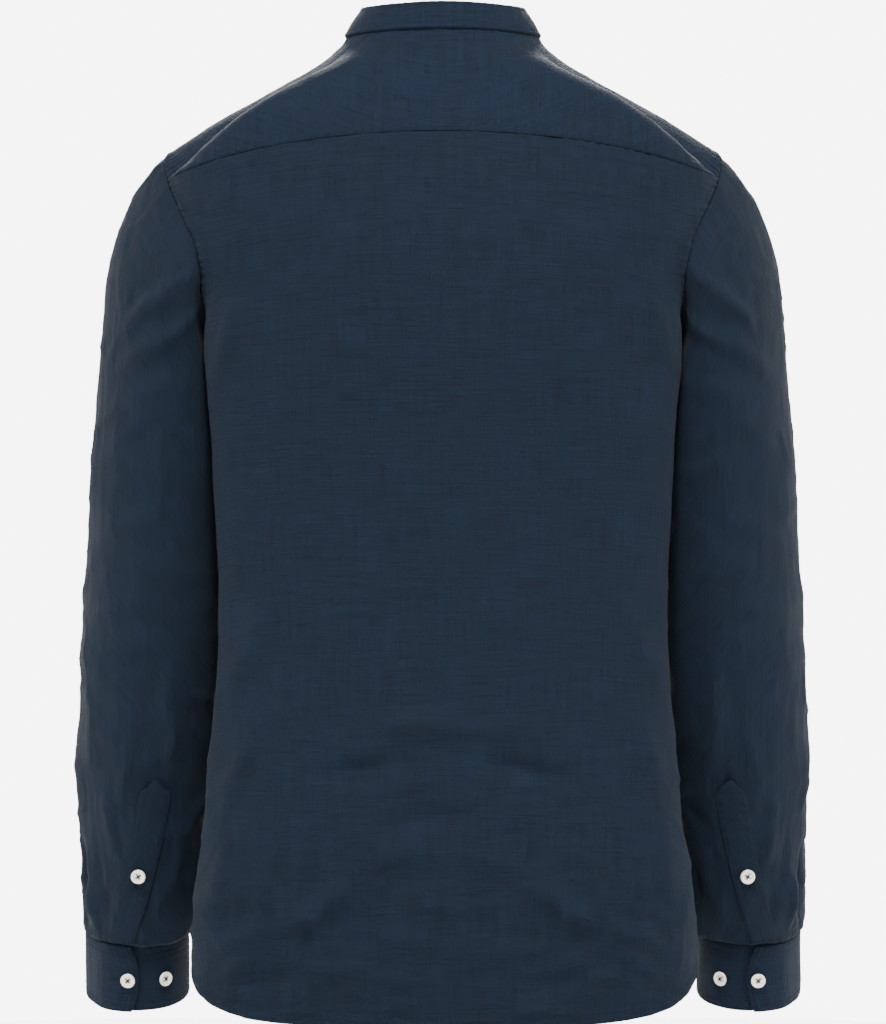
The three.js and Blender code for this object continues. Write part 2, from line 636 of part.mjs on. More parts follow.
// Cuff, its back end lapped over the other
function cuffPoint(part, v) {
  const end = CUFF_LAP.end - CUFF_LAP.corner * (2 * v - 1) ** 2;
  const turn = lerp(end, CUFF_LAP.end - CUFF_LAP.around, part);
  const angle = degrees(turn);
  const rise = lapRise(turn, CUFF_LAP.end - CUFF_LAP.over, CUFF_LAP.fade);
  const across = CUFF.width / 2 + rise;
  const deep = (CUFF.depth / 2 + rise) * sin(angle);
  return vec(CUFF.outer - CUFF.width / 2 + across * cos(angle), CUFF.middle + CUFF.drift * v + deep,
    lerp(CUFF.top, CUFF.bottom, v) - CUFF.lean * deep);
}
const cuffGrid = gridOf(steps(0, 1, STEPS.cuff), steps(0, 1, 4), cuffPoint, { flip: true });
addPair('cuff', wall(cuffGrid, DOUBLE_CLOTH), COLOURS.cuff);

// Pointed placket, made from the points of the sleeve and moved out
function towerPoint(across, v) {
  const turn = lerp(TOWER.topTurn, TOWER.bottomTurn, v) + TOWER.bow * 4 * v * (1 - v);
  const level = lerp(TOWER.top - TOWER.point * abs(across), TOWER.bottom, v);
  const half = lerp(TOWER.topHalf, TOWER.bottomHalf, v);
  const full = max(level, SLEEVE_FULL_END);
  const radius = rowAt(SLEEVE, full).width / 2;
  const point = sleeveRing(degrees(turn) + (across * half) / radius, full);
  point.z += level - full;
  return point;
}
const towerGrid = gridOf(steps(-1, 1, 4), steps(0, 1, STEPS.tower), towerPoint);
addPair('sleeve_placket', wall(towerGrid, CLOTH, {}, CLOTH + LAP_GAP), COLOURS.sleeve);

// Buttons with a rim, a dished face and four holes
const wasm = await Module();
wasm.setup();

function solidOf(geometry) {
  const bare = geometry.clone();
  bare.deleteAttribute('normal');
  bare.deleteAttribute('uv');
  const merged = BufferGeometryUtils.mergeVertices(bare, 1e-4);
  return new wasm.Manifold(new wasm.Mesh({
    numProp: 3,
    vertProperties: new Float32Array(merged.attributes.position.array),
    triVerts: new Uint32Array(merged.index.array),
  }));
}

function geometryOf(solid) {
  const mesh = solid.getMesh();
  const geometry = new THREE.BufferGeometry();
  geometry.setAttribute('position', new THREE.BufferAttribute(new Float32Array(mesh.vertProperties), 3));
  geometry.setIndex(new THREE.BufferAttribute(new Uint32Array(mesh.triVerts), 1));
  geometry.computeVertexNormals();
  return geometry;
}

function buttonGeometry() {
  const { radius, thick, dish, hole, holeSpread, sides } = BUTTON;
  const profile = [[0, 0], [radius - 0.9, 0], [radius, 0.8], [radius, thick - 0.7], [radius - 0.8, thick],
    [radius - 1.6, thick - 0.1], [radius - 2.2, thick - dish], [0, thick - dish]];
  let solid = solidOf(new THREE.LatheGeometry(profile.map(([x, y]) => new THREE.Vector2(x, y)), sides));
  for (const [across, along] of [[1, 1], [1, -1], [-1, 1], [-1, -1]]) {
    const drill = new THREE.CylinderGeometry(hole, hole, thick * 3, 5);
    drill.translate(across * holeSpread, 0, along * holeSpread);
    solid = solid.subtract(solidOf(drill));
  }
  const geometry = geometryOf(solid);
  geometry.rotateX(PI / 2);
  return geometry;
}
const BUTTON_SHAPE = buttonGeometry();

// A button resting on a surface: place(u, v) moved out by the cloth under it
function buttonOn(place, u, v, lift, step = 0.02) {
  const point = place(u, v);
  const across = place(u + step, v).sub(place(u - step, v));
  const along = place(u, v + step).sub(place(u, v - step));
  const normal = across.cross(along).normalize();
  const onSleeve = point.x > SLEEVE_MIDDLE_X / 2;
  const middle = vec(onSleeve ? SLEEVE_MIDDLE_X : 0, onSleeve ? CUFF.middle : 0, point.z);
  if (normal.dot(point.clone().sub(middle)) < 0) normal.negate();
  const turn = new THREE.Quaternion().setFromUnitVectors(vec(0, 0, 1), normal);
  const geometry = BUTTON_SHAPE.clone().applyQuaternion(turn);
  point.addScaledVector(normal, lift);
  geometry.translate(point.x, point.y, point.z);
  return geometry;
}

// How far down the strip a level is: -1 at the neck, 0 at the chest line, 1 under the arms, 2 at the hem
function stripPart(level) {
  const neck = neckRing(NECK, PI).z;
  if (level > CHEST_CENTRE) return (level - neck) / (CHEST_CENTRE - neck) - 1;
  if (level > UNDERARM_CENTRE) return (level - CHEST_CENTRE) / (UNDERARM_CENTRE - CHEST_CENTRE);
  return 1 + (level - UNDERARM_CENTRE) / (HEM_CENTRE - UNDERARM_CENTRE);
}
const onStripPlace = (x, v) => frontPlace(partAcross(x, v), v);
const onBandPlace = (half, v) => bandPoint(half * 180, v);
const cuffPart = (turn) => (CUFF_LAP.end - turn) / CUFF_LAP.around;
const onStrip = CLOTH + 2 * LAP_GAP;

function addButton(name, geometry, put = add) {
  put(name, geometry, COLOURS.button, BUTTON_ROUGHNESS);
}
FRONT_BUTTON_LEVELS.forEach((level, i) => {
  addButton(`front_button_${i + 1}`, buttonOn(onStripPlace, 0, stripPart(level), onStrip));
});
addButton('collar_button', buttonOn(onBandPlace, 1, COLLAR_BUTTON_ROW, LAP_GAP));
addButton('placket_button', buttonOn(towerPoint, 0, TOWER_BUTTON_ROW, onStrip), addPair);
for (const { name, turn, row } of CUFF_BUTTONS) {
  addButton(name, buttonOn(cuffPoint, cuffPart(turn), row, LAP_GAP), addPair);
}

export default shirt;
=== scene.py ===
"""Looks of a mandarin collar shirt: linen panels, seams, stitching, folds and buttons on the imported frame."""

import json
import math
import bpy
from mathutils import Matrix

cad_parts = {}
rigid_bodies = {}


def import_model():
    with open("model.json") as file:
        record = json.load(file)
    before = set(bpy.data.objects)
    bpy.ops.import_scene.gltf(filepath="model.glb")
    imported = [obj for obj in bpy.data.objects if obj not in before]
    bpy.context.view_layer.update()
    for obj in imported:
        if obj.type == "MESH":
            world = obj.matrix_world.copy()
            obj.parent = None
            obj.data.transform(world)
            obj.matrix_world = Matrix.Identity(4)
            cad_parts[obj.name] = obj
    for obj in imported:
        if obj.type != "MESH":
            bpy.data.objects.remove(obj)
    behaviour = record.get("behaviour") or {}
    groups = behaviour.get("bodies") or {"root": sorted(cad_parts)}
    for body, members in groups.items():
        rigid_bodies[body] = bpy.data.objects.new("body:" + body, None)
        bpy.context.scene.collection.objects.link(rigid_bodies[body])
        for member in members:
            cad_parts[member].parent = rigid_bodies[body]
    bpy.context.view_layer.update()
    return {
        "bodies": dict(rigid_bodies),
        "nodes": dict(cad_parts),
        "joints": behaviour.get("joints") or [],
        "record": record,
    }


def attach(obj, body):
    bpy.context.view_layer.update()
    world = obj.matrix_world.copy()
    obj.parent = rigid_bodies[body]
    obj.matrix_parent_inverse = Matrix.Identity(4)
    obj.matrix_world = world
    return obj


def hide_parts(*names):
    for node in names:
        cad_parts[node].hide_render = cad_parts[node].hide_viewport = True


bl_info = {
    "name": "Mandarin collar shirt",
    "version": (1, 0, 0),
    "blender": (4, 5, 0),
    "location": "View3D > Sidebar > Shirt",
    "description": "Linen shirt with a standing band collar, worn form",
    "category": "Object",
}

import bpy
import numpy as np
from bpy.props import FloatProperty, FloatVectorProperty, PointerProperty
from bpy.types import Operator, Panel, PropertyGroup
from mathutils import Vector

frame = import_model()

MM = 0.001

# Torso form in millimetres, from the hem up: half width, back, front, where it is widest, and how far
# the sleeve presses it in
TORSO = {
    "level": [-900, -758, -700, -650, -600, -540, -490, -420, -350, -300, -232, -160, -104, -60],
    "half": [196, 195, 194.5, 191.5, 185, 180, 175, 174, 178, 181, 186, 196, 215, 215],
    "back": [109, 109, 107, 105, 103, 100, 98, 98, 101, 105, 112, 112, 104, 92],
    "front": [-124, -124, -123, -121, -119, -117, -117, -119, -123, -127, -128, -120, -98, -76],
    "widest": [50, 50, 50, 50, 50, 50, 50, 50, 52, 54, 55, 48, 20, 8],
    "press": [0, 0, 0, 0, 0, 0, 0, 2, 10, 18, 22, 8, 0, 0],
}
PRESS_MIDDLE, PRESS_REACH = -8, 42
BACK_FULLNESS, FRONT_FULLNESS = 2.5, 2.15

# Armhole seam on the wearer's left: shoulder tip, round the back, under the arm, up the front
ARMHOLE = [
    (216.5, 0, -87), (213, 36, -105), (204, 58, -128), (193, 73, -151), (187, 76, -176), (184.5, 61, -203),
    (173, 29, -223), (156, -8, -230), (160, -42, -215), (166, -62, -185), (179, -66, -150), (203, -38, -110),
]
BACK_JUNCTION, UNDERARM_CORNER, FRONT_JUNCTION = 1, 7, 11
UNDERARM_X, UNDERARM_Z = 156, -230

YOKE_CENTRE, CHEST_CENTRE, UNDERARM_CENTRE = -70, -124, -236
HEM_CENTRE, HEM_SIDE, SIDE_SEAM_Y = -758, -684, -8
ROW_CURVE = {"yoke": 1.6, "chest": 1.5, "underarm": 2, "hem": 2.9}

# Neck seam and the top of the standing band
NECK = {"half": 75, "back": 50, "front": -62, "back_level": 10.7, "side_level": 7, "drop": 36}
BAND_TOP = {"half": 61.5, "back": 41, "front": -55, "back_level": 32.4, "side_level": 29, "drop": 32}
NECK_MIDDLE = -6
YOKE_NECK_TURN, FRONT_NECK_TURN = math.radians(60), math.radians(113)
SHOULDER_SLOPE = np.array([0.76, 0, -0.65]) / math.hypot(0.76, 0.65)
NECK_PULL = {"back": 60, "shoulder": 80, "front": 55}
STRIP_HALF, FRONTS_MEET = 16, 11

# Sleeve rings in millimetres, from the cuff up
SLEEVE = {
    "level": [-694, -689.6, -687.4, -640, -572, -498, -431, -360, -300, -232],
    "outer": [278.3, 279.3, 282.3, 283.5, 285, 283.5, 280, 275.5, 270.5, 264],
    "width": [75.2, 77.2, 89, 99, 107, 111, 110, 107, 108, 108],
    "middle": [-51.3, -50, -48.6, -37, -25, -17, -12, -10, -9, -6],
    "depth": [77, 81, 90, 97, 104, 113, 122, 130, 136, 138],
    "rise": [0, 0, 0, 0, 0, 0, 3, 10, 20, 34],
    "lean": [0.3, 0.3, 0.3, 0.24, 0.18, 0.12, 0.07, 0.04, 0.02, 0],
}
SLEEVE_TOP, SLEEVE_END, SLEEVE_FULL_END = -232, -694, -681
ARM_BEYOND, ARM_MIDDLE = 100, 240
SLEEVE_CLEARANCE = 4
SLEEVE_SHIFT = 0.3
CUFF = {"outer": 281.7, "width": 82, "depth": 84, "top": -689, "bottom": -741, "middle": -50, "lean": 0.3,
        "drift": -13}
CUFF_LAP = {"end": 94, "around": 388, "over": 34, "fade": 30, "corner": 8}
COLLAR_LAP = {"over": 192, "under": -188, "from": 158, "fade": 26, "corner": 8}
LAP_LIFT = 3.2
TOWER = {"top": -562, "bottom": -686, "top_turn": 98.5, "bottom_turn": 72, "bow": 3.5, "top_half": 12.5,
         "bottom_half": 10.5, "point": 11}
CLOTH, LAP_GAP = 1.4, 0.45
ON_THE_FRONT, BUTTON_AIR = CLOTH + LAP_GAP, 0.1

# Buttons: how far each hole is from the middle both ways, its radius and depth; rim heights by radius
BUTTON = {"spread": 1.35, "hole": 0.55, "deep": 1.5, "turns": 64}
BUTTON_RINGS = [0.0, 0.5, 0.9, 1.2, 1.5, 1.75, 2.0, 2.3, 2.6, 2.9, 3.2, 3.5, 3.8, 4.1, 4.5, 4.9, 5.25, 5.5,
                5.65]
BUTTON_FACE = ([0, 3.2, 3.9, 4.6, 5.2, 5.65], [1.75, 1.8, 2.35, 2.6, 2.5, 2.05])
BUTTON_BACK = [(5.7, 1.6), (5.6, 0.9), (5.0, 0.25), (4.2, 0.05), (0.01, 0.05)]
THREAD_RISE = ((0.15, 0.45), (0.5, 0.62), (0.85, 0.45), (1.0, 0.0))
FRONT_BUTTON_LEVELS = (-78, -168, -258, -348, -438, -528)
TOWER_BUTTON_V = 0.585
COLLAR_BUTTON = (180, 0.5)
CUFF_BUTTONS = (("cuff_button", 83, 0.51), ("cuff_inner_button", 123.6 - 360, 0.55))
HOLE_LONG, CUFF_HOLE_LONG, HOLE_BEFORE, HOLE_LIFT = 13, 15, 4, 0.2
HOLE_STITCH, HOLE_INNER, HOLE_OUTER = 0.42, 0.2, 1.35
TOWER_LONG, CUFF_LONG, BAND_TURN_PER_MM = 115, 265, 0.9

# Stitch rows in millimetres from the edge of their piece, and the depth of the turned hem
SEAM_ROWS, YOKE_ROWS, STRIP_ROWS = (1.6, 7.0), (1.8, 6.2), (1.6, 6.4)
BAND_ROWS, CUFF_ROWS, TOWER_ROWS, TOWER_CROSS_ROWS = (1.8,), (1.8, 6.8), (1.5,), (16, 20)
HEM_DEEP, HEM_ROWS = 9, (8,)

# Depth of the folds and crumples as made, the millimetres that count as far from any seam, the sleeve's
# mean radius, by which a turn becomes a length, and the layers of cloth in a piece
BODY_GAIN, SLEEVE_GAIN, CRUMPLE_GAIN = 2.9, 1.7, 1.7
NO_SEAM = 1e3
# Crumples of each panel: everywhere, more in its lower part, which starts at a level and grows over a reach
CRUMPLED = {
    "back": (0.3, 0.75, -470, 180), "front": (0.35, 0.7, -420, 200), "sleeve": (0.5, 0.4, -420, 200),
    "yoke": (0.28, 0, 0, 1),
}
# How much each axis counts where the grain is drawn out across or down the cloth
ACROSS, DOWN, SLEEVE_ACROSS, SLEEVE_DOWN = (0.28, 0.28, 1), (1, 1, 0.2), (0.5, 0.5, 1), (1, 1, 0.16)
# Grid lines across and down each sheet: a place and the number of steps to the next place
GRIDS = {
    "back": ((-1, 9), (-0.95, 122), (0.95, 9), (1, 0)),
    "back_down": ((0, 10), (0.06, 104), (1, 130), (1.975, 12), (2, 0)),
    "yoke": ((-2, 8), (-1.93, 62), (-1, 250), (1, 62), (1.93, 8), (2, 0)),
    "yoke_down": ((-0.05, 8), (0.1, 24), (0.88, 12), (1, 0)),
    "front": ((0, 54), (0.95, 10), (1, 0)),
    "front_down": ((-1.05, 8), (-0.93, 30), (0, 62), (1, 96), (1.975, 10), (2, 0)),
    "strip": ((-STRIP_HALF, 8), (-10, 12), (10, 8), (STRIP_HALF, 0)),
    "strip_down": ((-1, 46), (0, 44), (1, 130), (1.98, 10), (2, 0)),
    "band": ((COLLAR_LAP["under"], 190), (COLLAR_LAP["over"], 0)),
    "band_down": ((0, 8), (0.2, 14), (0.8, 8), (1, 0)),
    "cuff": ((0, 10), (0.03, 150), (0.97, 10), (1, 0)),
    "cuff_down": ((0, 10), (0.2, 18), (0.8, 10), (1, 0)),
    "tower": ((-1, 22), (1, 0)),
    "tower_down": ((0, 20), (0.25, 36), (1, 0)),
}
SLEEVE_COLUMNS, CUFF_GATHERS = 180, 70
SLEEVE_RADIUS = 55
SINGLE, DOUBLED = 1, 2

# Flat cut of each sheet in metres and square metres: width, length and area
CUTS = {
    "back": (0.5, 0.69, 0.335), "yoke": (0.47, 0.17, 0.062), "front_left": (0.24, 0.73, 0.145),
    "front_right": (0.26, 0.73, 0.162), "strip": (0.032, 0.765, 0.0245), "band": (0.41, 0.028, 0.0112),
    "sleeve": (0.43, 0.6, 0.2), "cuff": (0.285, 0.055, 0.0154), "tower": (0.026, 0.13, 0.0031),
}

# Stage in metres and watts; the glow is the studio's light below, at and above the horizon
FLOOR_LEVEL, FLOOR_RADIUS, FLOOR_SIDES = -0.85, 1.42, 96
CAMERA, LENS, SENSOR, AIM = (0, 6.0, -0.363), 270.4, 36, (0, 0, -0.36)
GLOW = {"low": 1.3, "level": 7.0, "top": 0.05}
HORIZON = {"low": (-0.3, -0.12), "top": (0.12, 0.3)}
LIGHTS = (("key", (0, 2.1, 2.8), 0.9, 560), ("side_left", (3.4, 1.1, 0.5), 1.0, 130),
          ("side_right", (-3.4, 1.1, 0.5), 1.0, 130), ("front", (0, -3.0, 1.7), 1.4, 520))

# Folds seen from behind in millimetres: place, tilt in degrees, half length, half width, height
BACK_FOLDS = [
    (0, -528, 0, 75, 9, 2.4), (62, -560, 8, 46, 8, -2.2), (-66, -562, -8, 46, 8, -2.2),
    (40, -628, 24, 34, 9, 2.0), (-40, -629, -24, 34, 9, 2.0), (92, -664, 32, 44, 9, 2.6),
    (-94, -665, -32, 44, 9, 2.6), (150, -688, 14, 30, 8, 2.4), (-146, -690, -14, 30, 8, 2.4),
]
SLEEVE_FOLDS = [
    (78, -196, -52, 34, 8, 3.2), (72, -238, -30, 36, 9, 3.0), (108, -520, 86, 60, 7, 2.2),
    (20, -650, 86, 44, 6, -3.4), (40, -672, 80, 22, 5, 2.2), (232, -250, 24, 38, 10, 3.0),
    (268, -440, 12, 40, 10, 3.0), (250, -480, -14, 36, 9, 2.6), (205, -455, -8, 34, 9, 2.4),
]
# Lesser creases, the same columns as above
BACK_CREASES = [
    (0, -667, 0, 22, 5, 1.2), (104, -671, -58, 26, 5, 1.5), (-103, -671, 58, 26, 5, 1.5),
    (152, -708, 40, 24, 6, 1.5), (-150, -712, -36, 26, 6, 1.5), (128, -719, 12, 26, 6, -1.4),
    (84, -716, -10, 30, 6, 1.1), (67, -729, 22, 24, 5, 1.0), (-92, -722, 14, 28, 6, -1.2),
    (8, -598, 4, 52, 7, -1.2), (-22, -700, -6, 46, 7, 1.0), (34, -574, 16, 30, 6, 0.9),
    (150, -470, 62, 52, 9, 1.2), (-152, -462, -60, 50, 9, 1.2), (158, -560, 74, 50, 8, 1.6),
    (-160, -552, -76, 48, 8, 1.6), (60, -430, 30, 60, 14, 0.8), (-54, -446, -34, 56, 14, 0.8),
    (110, -250, 70, 60, 16, 0.9), (-112, -256, -72, 58, 16, 0.9), (166, -230, 78, 34, 7, 1.6),
    (-168, -226, -80, 34, 7, 1.6), (0, -130, 90, 40, 16, -0.5), (170, -640, 80, 40, 8, 1.3),
    (-172, -632, -78, 42, 8, 1.3),
]
FRONT_CREASES = [
    (70, -200, -34, 46, 9, 1.6), (-74, -206, 36, 44, 9, 1.6), (92, -300, 20, 52, 10, 1.5),
    (-88, -312, -18, 50, 10, 1.5), (60, -430, 12, 54, 9, 2.0), (-66, -444, -14, 50, 9, 2.0),
    (84, -540, 26, 44, 8, 2.1), (-80, -548, -24, 46, 8, 2.1), (96, -640, 32, 42, 9, 2.2),
    (-100, -632, -34, 42, 9, 2.2), (52, -690, 10, 34, 7, 1.4), (-48, -700, -12, 34, 7, 1.4),
    (112, -150, -62, 34, 8, 1.2), (-114, -156, 60, 34, 8, 1.2), (44, -600, -20, 30, 7, 1.2),
    (-40, -612, 18, 30, 7, 1.2), (120, -460, 70, 50, 9, 1.3), (-124, -470, -70, 48, 9, 1.3),
]
SLEEVE_CREASES = [
    (96, -222, -44, 30, 5, 1.6), (60, -212, -60, 26, 5, 1.3), (84, -270, -22, 34, 7, 1.5),
    (62, -300, -34, 30, 6, 1.1), (100, -330, 18, 34, 8, 1.2), (70, -372, -14, 40, 9, 1.2),
    (96, -410, 14, 34, 8, 1.4), (60, -440, -10, 36, 8, 1.5), (88, -462, 22, 30, 7, 1.3),
    (74, -560, -80, 40, 6, 1.4), (92, -590, -74, 34, 5, -1.4), (60, -610, 82, 40, 6, 1.5),
    (48, -640, 80, 34, 5, -1.6), (120, -640, -84, 34, 6, 1.5), (132, -660, 84, 26, 5, -1.4),
    (34, -664, 86, 24, 4, 1.6), (58, -668, 84, 20, 4, -1.4), (106, -668, 86, 18, 4, 1.2),
    (150, -590, -50, 34, 7, 1.4), (8, -560, 66, 48, 8, 1.6), (352, -600, 80, 50, 8, -1.7),
    (330, -640, 84, 40, 6, 2.0), (300, -650, 86, 34, 6, -1.8), (280, -640, 82, 40, 6, 1.8),
    (256, -650, 86, 36, 5, -1.6), (232, -640, 84, 36, 6, 1.6), (200, -650, 80, 36, 6, 1.4),
    (300, -260, 34, 40, 9, 1.6), (320, -330, -16, 44, 10, 1.4), (290, -400, 24, 40, 9, 1.8),
    (246, -420, -22, 36, 8, 1.8), (262, -520, 18, 36, 8, 1.8), (238, -560, -22, 34, 8, 1.6),
    (20, -330, 74, 50, 12, 1.0), (340, -430, -20, 40, 10, 1.3), (30, -480, 30, 40, 10, 1.1),
]


def lerp(a, b, t):
    return a + (b - a) * t


def smooth(t):
    s = np.clip(t, 0, 1)
    return s * s * (3 - 2 * s)


def hermite(p0, t0, p1, t1, t):
    t2 = t * t
    t3 = t2 * t
    return (2 * t3 - 3 * t2 + 1) * p0 + (t3 - 2 * t2 + t) * t0 + (3 * t2 - 2 * t3) * p1 + (t3 - t2) * t1


def row_at(table, level):
    """Every column of a table at the given levels, smoothly between its rows."""
    levels = np.array(table["level"], float)
    level = np.clip(np.asarray(level, float), levels[0], levels[-1])
    i = np.clip(np.searchsorted(levels, level, side="left") - 1, 0, len(levels) - 2)
    span = levels[i + 1] - levels[i]
    t = (level - levels[i]) / span
    order = np.arange(len(levels))
    before, after = np.maximum(order - 1, 0), np.minimum(order + 1, len(levels) - 1)
    result = {}
    for name, column in table.items():
        values = np.array(column, float)
        slopes = (values[after] - values[before]) / (levels[after] - levels[before])
        result[name] = hermite(values[i], slopes[i] * span, values[i + 1], slopes[i + 1] * span, t)
    return result


def signed_power(value, power):
    return np.sign(value) * np.abs(value) ** power


def stack(x, y, z):
    return np.stack(np.broadcast_arrays(x, y, z), axis=-1)


def unit(vectors):
    return vectors / np.maximum(np.linalg.norm(vectors, axis=-1, keepdims=True), 1e-9)


def torso(turn, level):
    row = row_at(TORSO, level)
    fore = np.cos(turn)
    power = np.where(fore > 0, 2 / BACK_FULLNESS, 2 / FRONT_FULLNESS)
    depth = np.where(fore > 0, row["back"] - row["widest"], row["widest"] - row["front"])
    y = row["widest"] + depth * signed_power(fore, power)
    x = row["half"] * signed_power(np.sin(turn), power)
    press = row["press"] * np.exp(-(((y - PRESS_MIDDLE) / PRESS_REACH) ** 2))
    return stack(x - np.sign(x) * np.minimum(np.abs(x), press), y, level)


def turn_at(y, level):
    row = row_at(TORSO, level)
    ahead = y - row["widest"]
    depth = np.where(ahead > 0, row["back"] - row["widest"], row["widest"] - row["front"])
    power = np.where(ahead > 0, BACK_FULLNESS, FRONT_FULLNESS) / 2
    return np.arccos(signed_power(np.clip(ahead / depth, -1, 1), power))


def side_x(y, level):
    return torso(turn_at(y, level), level)[..., 0]


def closed_curve(points, per_span=80):
    """A closed Catmull-Rom curve as points, with the share of its length at each."""
    p = np.array(points, float)
    t = np.linspace(0, 1, per_span, endpoint=False)[:, None]
    spans = []
    for i in range(len(p)):
        a, b, c, d = (p[(i + k) % len(p)] for k in (-1, 0, 1, 2))
        spans.append(hermite(b, (c - a) / 2, c, (d - b) / 2, t))
    curve = np.concatenate(spans + [p[:1]])
    length = np.concatenate([[0], np.cumsum(np.linalg.norm(np.diff(curve, axis=0), axis=1))])
    return curve, length / length[-1]


ARM_POINTS, ARM_SHARES = closed_curve(ARMHOLE)
SHARE_BACK = ARM_SHARES[80 * BACK_JUNCTION]
SHARE_UNDER = ARM_SHARES[80 * UNDERARM_CORNER]
SHARE_FRONT = ARM_SHARES[80 * FRONT_JUNCTION]


def armhole(share):
    part = np.asarray(share, float) % 1.0
    return np.stack([np.interp(part, ARM_SHARES, ARM_POINTS[:, k]) for k in range(3)], axis=-1)


def pick(choose, a, b):
    return np.where(np.asarray(choose)[..., None], a, b)


def edge_point(v, from_share):
    """Edge of the body panels: the armhole for v from 0 to 1, then the side seam down to 2."""
    arm = armhole(lerp(from_share, SHARE_UNDER, np.clip(v, 0, 1)))
    level = lerp(UNDERARM_Z, HEM_SIDE, np.clip(v - 1, 0, 1))
    x = lerp(UNDERARM_X, side_x(np.full_like(level, SIDE_SEAM_Y), level), smooth((v - 1) * 6))
    return pick(v <= 1, arm, stack(x, SIDE_SEAM_Y, level))


def row_drop(part, v, top):
    below = part ** lerp(ROW_CURVE["underarm"], ROW_CURVE["hem"], np.clip(v - 1, 0, 1))
    above = lerp(top, part ** ROW_CURVE["underarm"], smooth(v * 1.6))
    return np.where(v > 1, below, above)


def centre_level(v, top):
    return np.where(v <= 1, lerp(top, UNDERARM_CENTRE, v), lerp(UNDERARM_CENTRE, HEM_CENTRE, v - 1))


def body_point(u, v, share, top, top_drop, front):
    edge = edge_point(v, share)
    part = np.maximum(u, 0)
    edge_turn = turn_at(edge[..., 1], edge[..., 2])
    level = lerp(centre_level(v, top), edge[..., 2], row_drop(part, v, top_drop(part)))
    turn = math.pi - u * (math.pi - edge_turn) if front else part * edge_turn
    point = torso(turn, level)
    point[..., 0] += (edge[..., 0] - torso(edge_turn, edge[..., 2])[..., 0]) * part ** 3
    return point


def back_point(u, v):
    drop = lambda part: 1 - np.maximum(1 - part ** ROW_CURVE["yoke"], 0) ** ROW_CURVE["yoke"]
    point = body_point(np.abs(u), v, SHARE_BACK, YOKE_CENTRE, drop, False)
    point[..., 0] *= np.sign(u)
    return point


def front_point(u, v):
    drop = lambda part: part ** ROW_CURVE["chest"]
    return body_point(u, v, SHARE_FRONT, CHEST_CENTRE, drop, True)


def neck_ring(ring, turn):
    fore = np.cos(turn)
    reach = np.where(fore > 0, ring["back"] - NECK_MIDDLE, NECK_MIDDLE - ring["front"])
    behind = lerp(ring["side_level"], ring["back_level"], fore * fore)
    level = np.where(fore > 0, behind, ring["side_level"] - ring["drop"] * np.maximum(-fore, 0) ** 1.6)
    return stack(ring["half"] * np.sin(turn), NECK_MIDDLE + reach * fore, level)


def cape(c, t):
    """The form out from the neck seam: c is 0 at the centre back, 1 to 2 over the shoulder, 3 in front."""
    turn = np.where(c <= 1, YOKE_NECK_TURN * c, lerp(YOKE_NECK_TURN, FRONT_NECK_TURN, c - 1))
    turn = np.where(c <= 2, turn, lerp(FRONT_NECK_TURN, math.pi, c - 2))
    neck = neck_ring(NECK, turn)
    zero = np.zeros_like(c * 1.0)
    back_u, front_u = np.maximum(c, 1e-6), 3 - c
    shoulder = armhole(lerp(SHARE_BACK, SHARE_FRONT - 1, c - 1))
    outer = pick(c <= 1, back_point(np.minimum(back_u, 1), zero), shoulder)
    outer = pick(c <= 2, outer, front_point(np.minimum(front_u, 1), zero))
    back_u, front_u = np.minimum(back_u, 1), np.minimum(front_u, 1)
    down_back = unit(back_point(back_u, zero + 0.06) - back_point(back_u, zero))
    down_front = unit(front_point(front_u, zero + 0.06) - front_point(front_u, zero))
    to_back = (np.clip(c, 0, 1) ** 1.6)[..., None]
    to_front = (np.clip(3 - c, 0, 1) ** 1.6)[..., None]
    slope = np.broadcast_to(SHOULDER_SLOPE, outer.shape)
    arrive = pick(c < 1, unit(lerp(down_back, SHOULDER_SLOPE, to_back)), slope)
    arrive = pick(c > 2, unit(lerp(down_front, SHOULDER_SLOPE, to_front)), arrive)
    chord = np.linalg.norm(outer - neck, axis=-1, keepdims=True)
    away = unit(stack(neck[..., 0], neck[..., 1] - NECK_MIDDLE, zero)) * 0.4
    first = lerp(NECK_PULL["back"], NECK_PULL["shoulder"], smooth(c / 1.5))
    second = lerp(NECK_PULL["shoulder"], NECK_PULL["front"], smooth((c - 1.5) / 1.5))
    pull = np.where(c <= 1.5, first, second)[..., None]
    leave = (away + np.array([0, 0, -0.93])) * pull
    return hermite(neck, leave, outer, arrive * chord, np.asarray(t)[..., None])


def front_place(u, v):
    return pick(v < 0, cape(3 - u, np.clip(v + 1, -0.1, 1)), front_point(u, np.maximum(v, 0)))


def part_across(x, v):
    """Where a front lies at a given distance from the centre line."""
    low, high = np.full_like(v, -0.4), np.full_like(v, 0.6)
    for _ in range(24):
        middle = (low + high) / 2
        short = front_place(middle, v)[..., 0] < x
        low, high = np.where(short, middle, low), np.where(short, high, middle)
    return (low + high) / 2


def sleeve_ring(turn, level):
    row = row_at(SLEEVE, level)
    across = row["width"] / 2
    deep = row["depth"] / 2 * np.sin(turn)
    z = level + row["rise"] * np.cos(turn) - row["lean"] * deep
    return stack(row["outer"] - across + across * np.cos(turn), row["middle"] + deep, z)


def sleeve_turn(share):
    under = math.pi * share / SHARE_UNDER
    over = math.pi + math.pi * (share - SHARE_UNDER) / (1 - SHARE_UNDER)
    return np.where(share <= SHARE_UNDER, under, over)


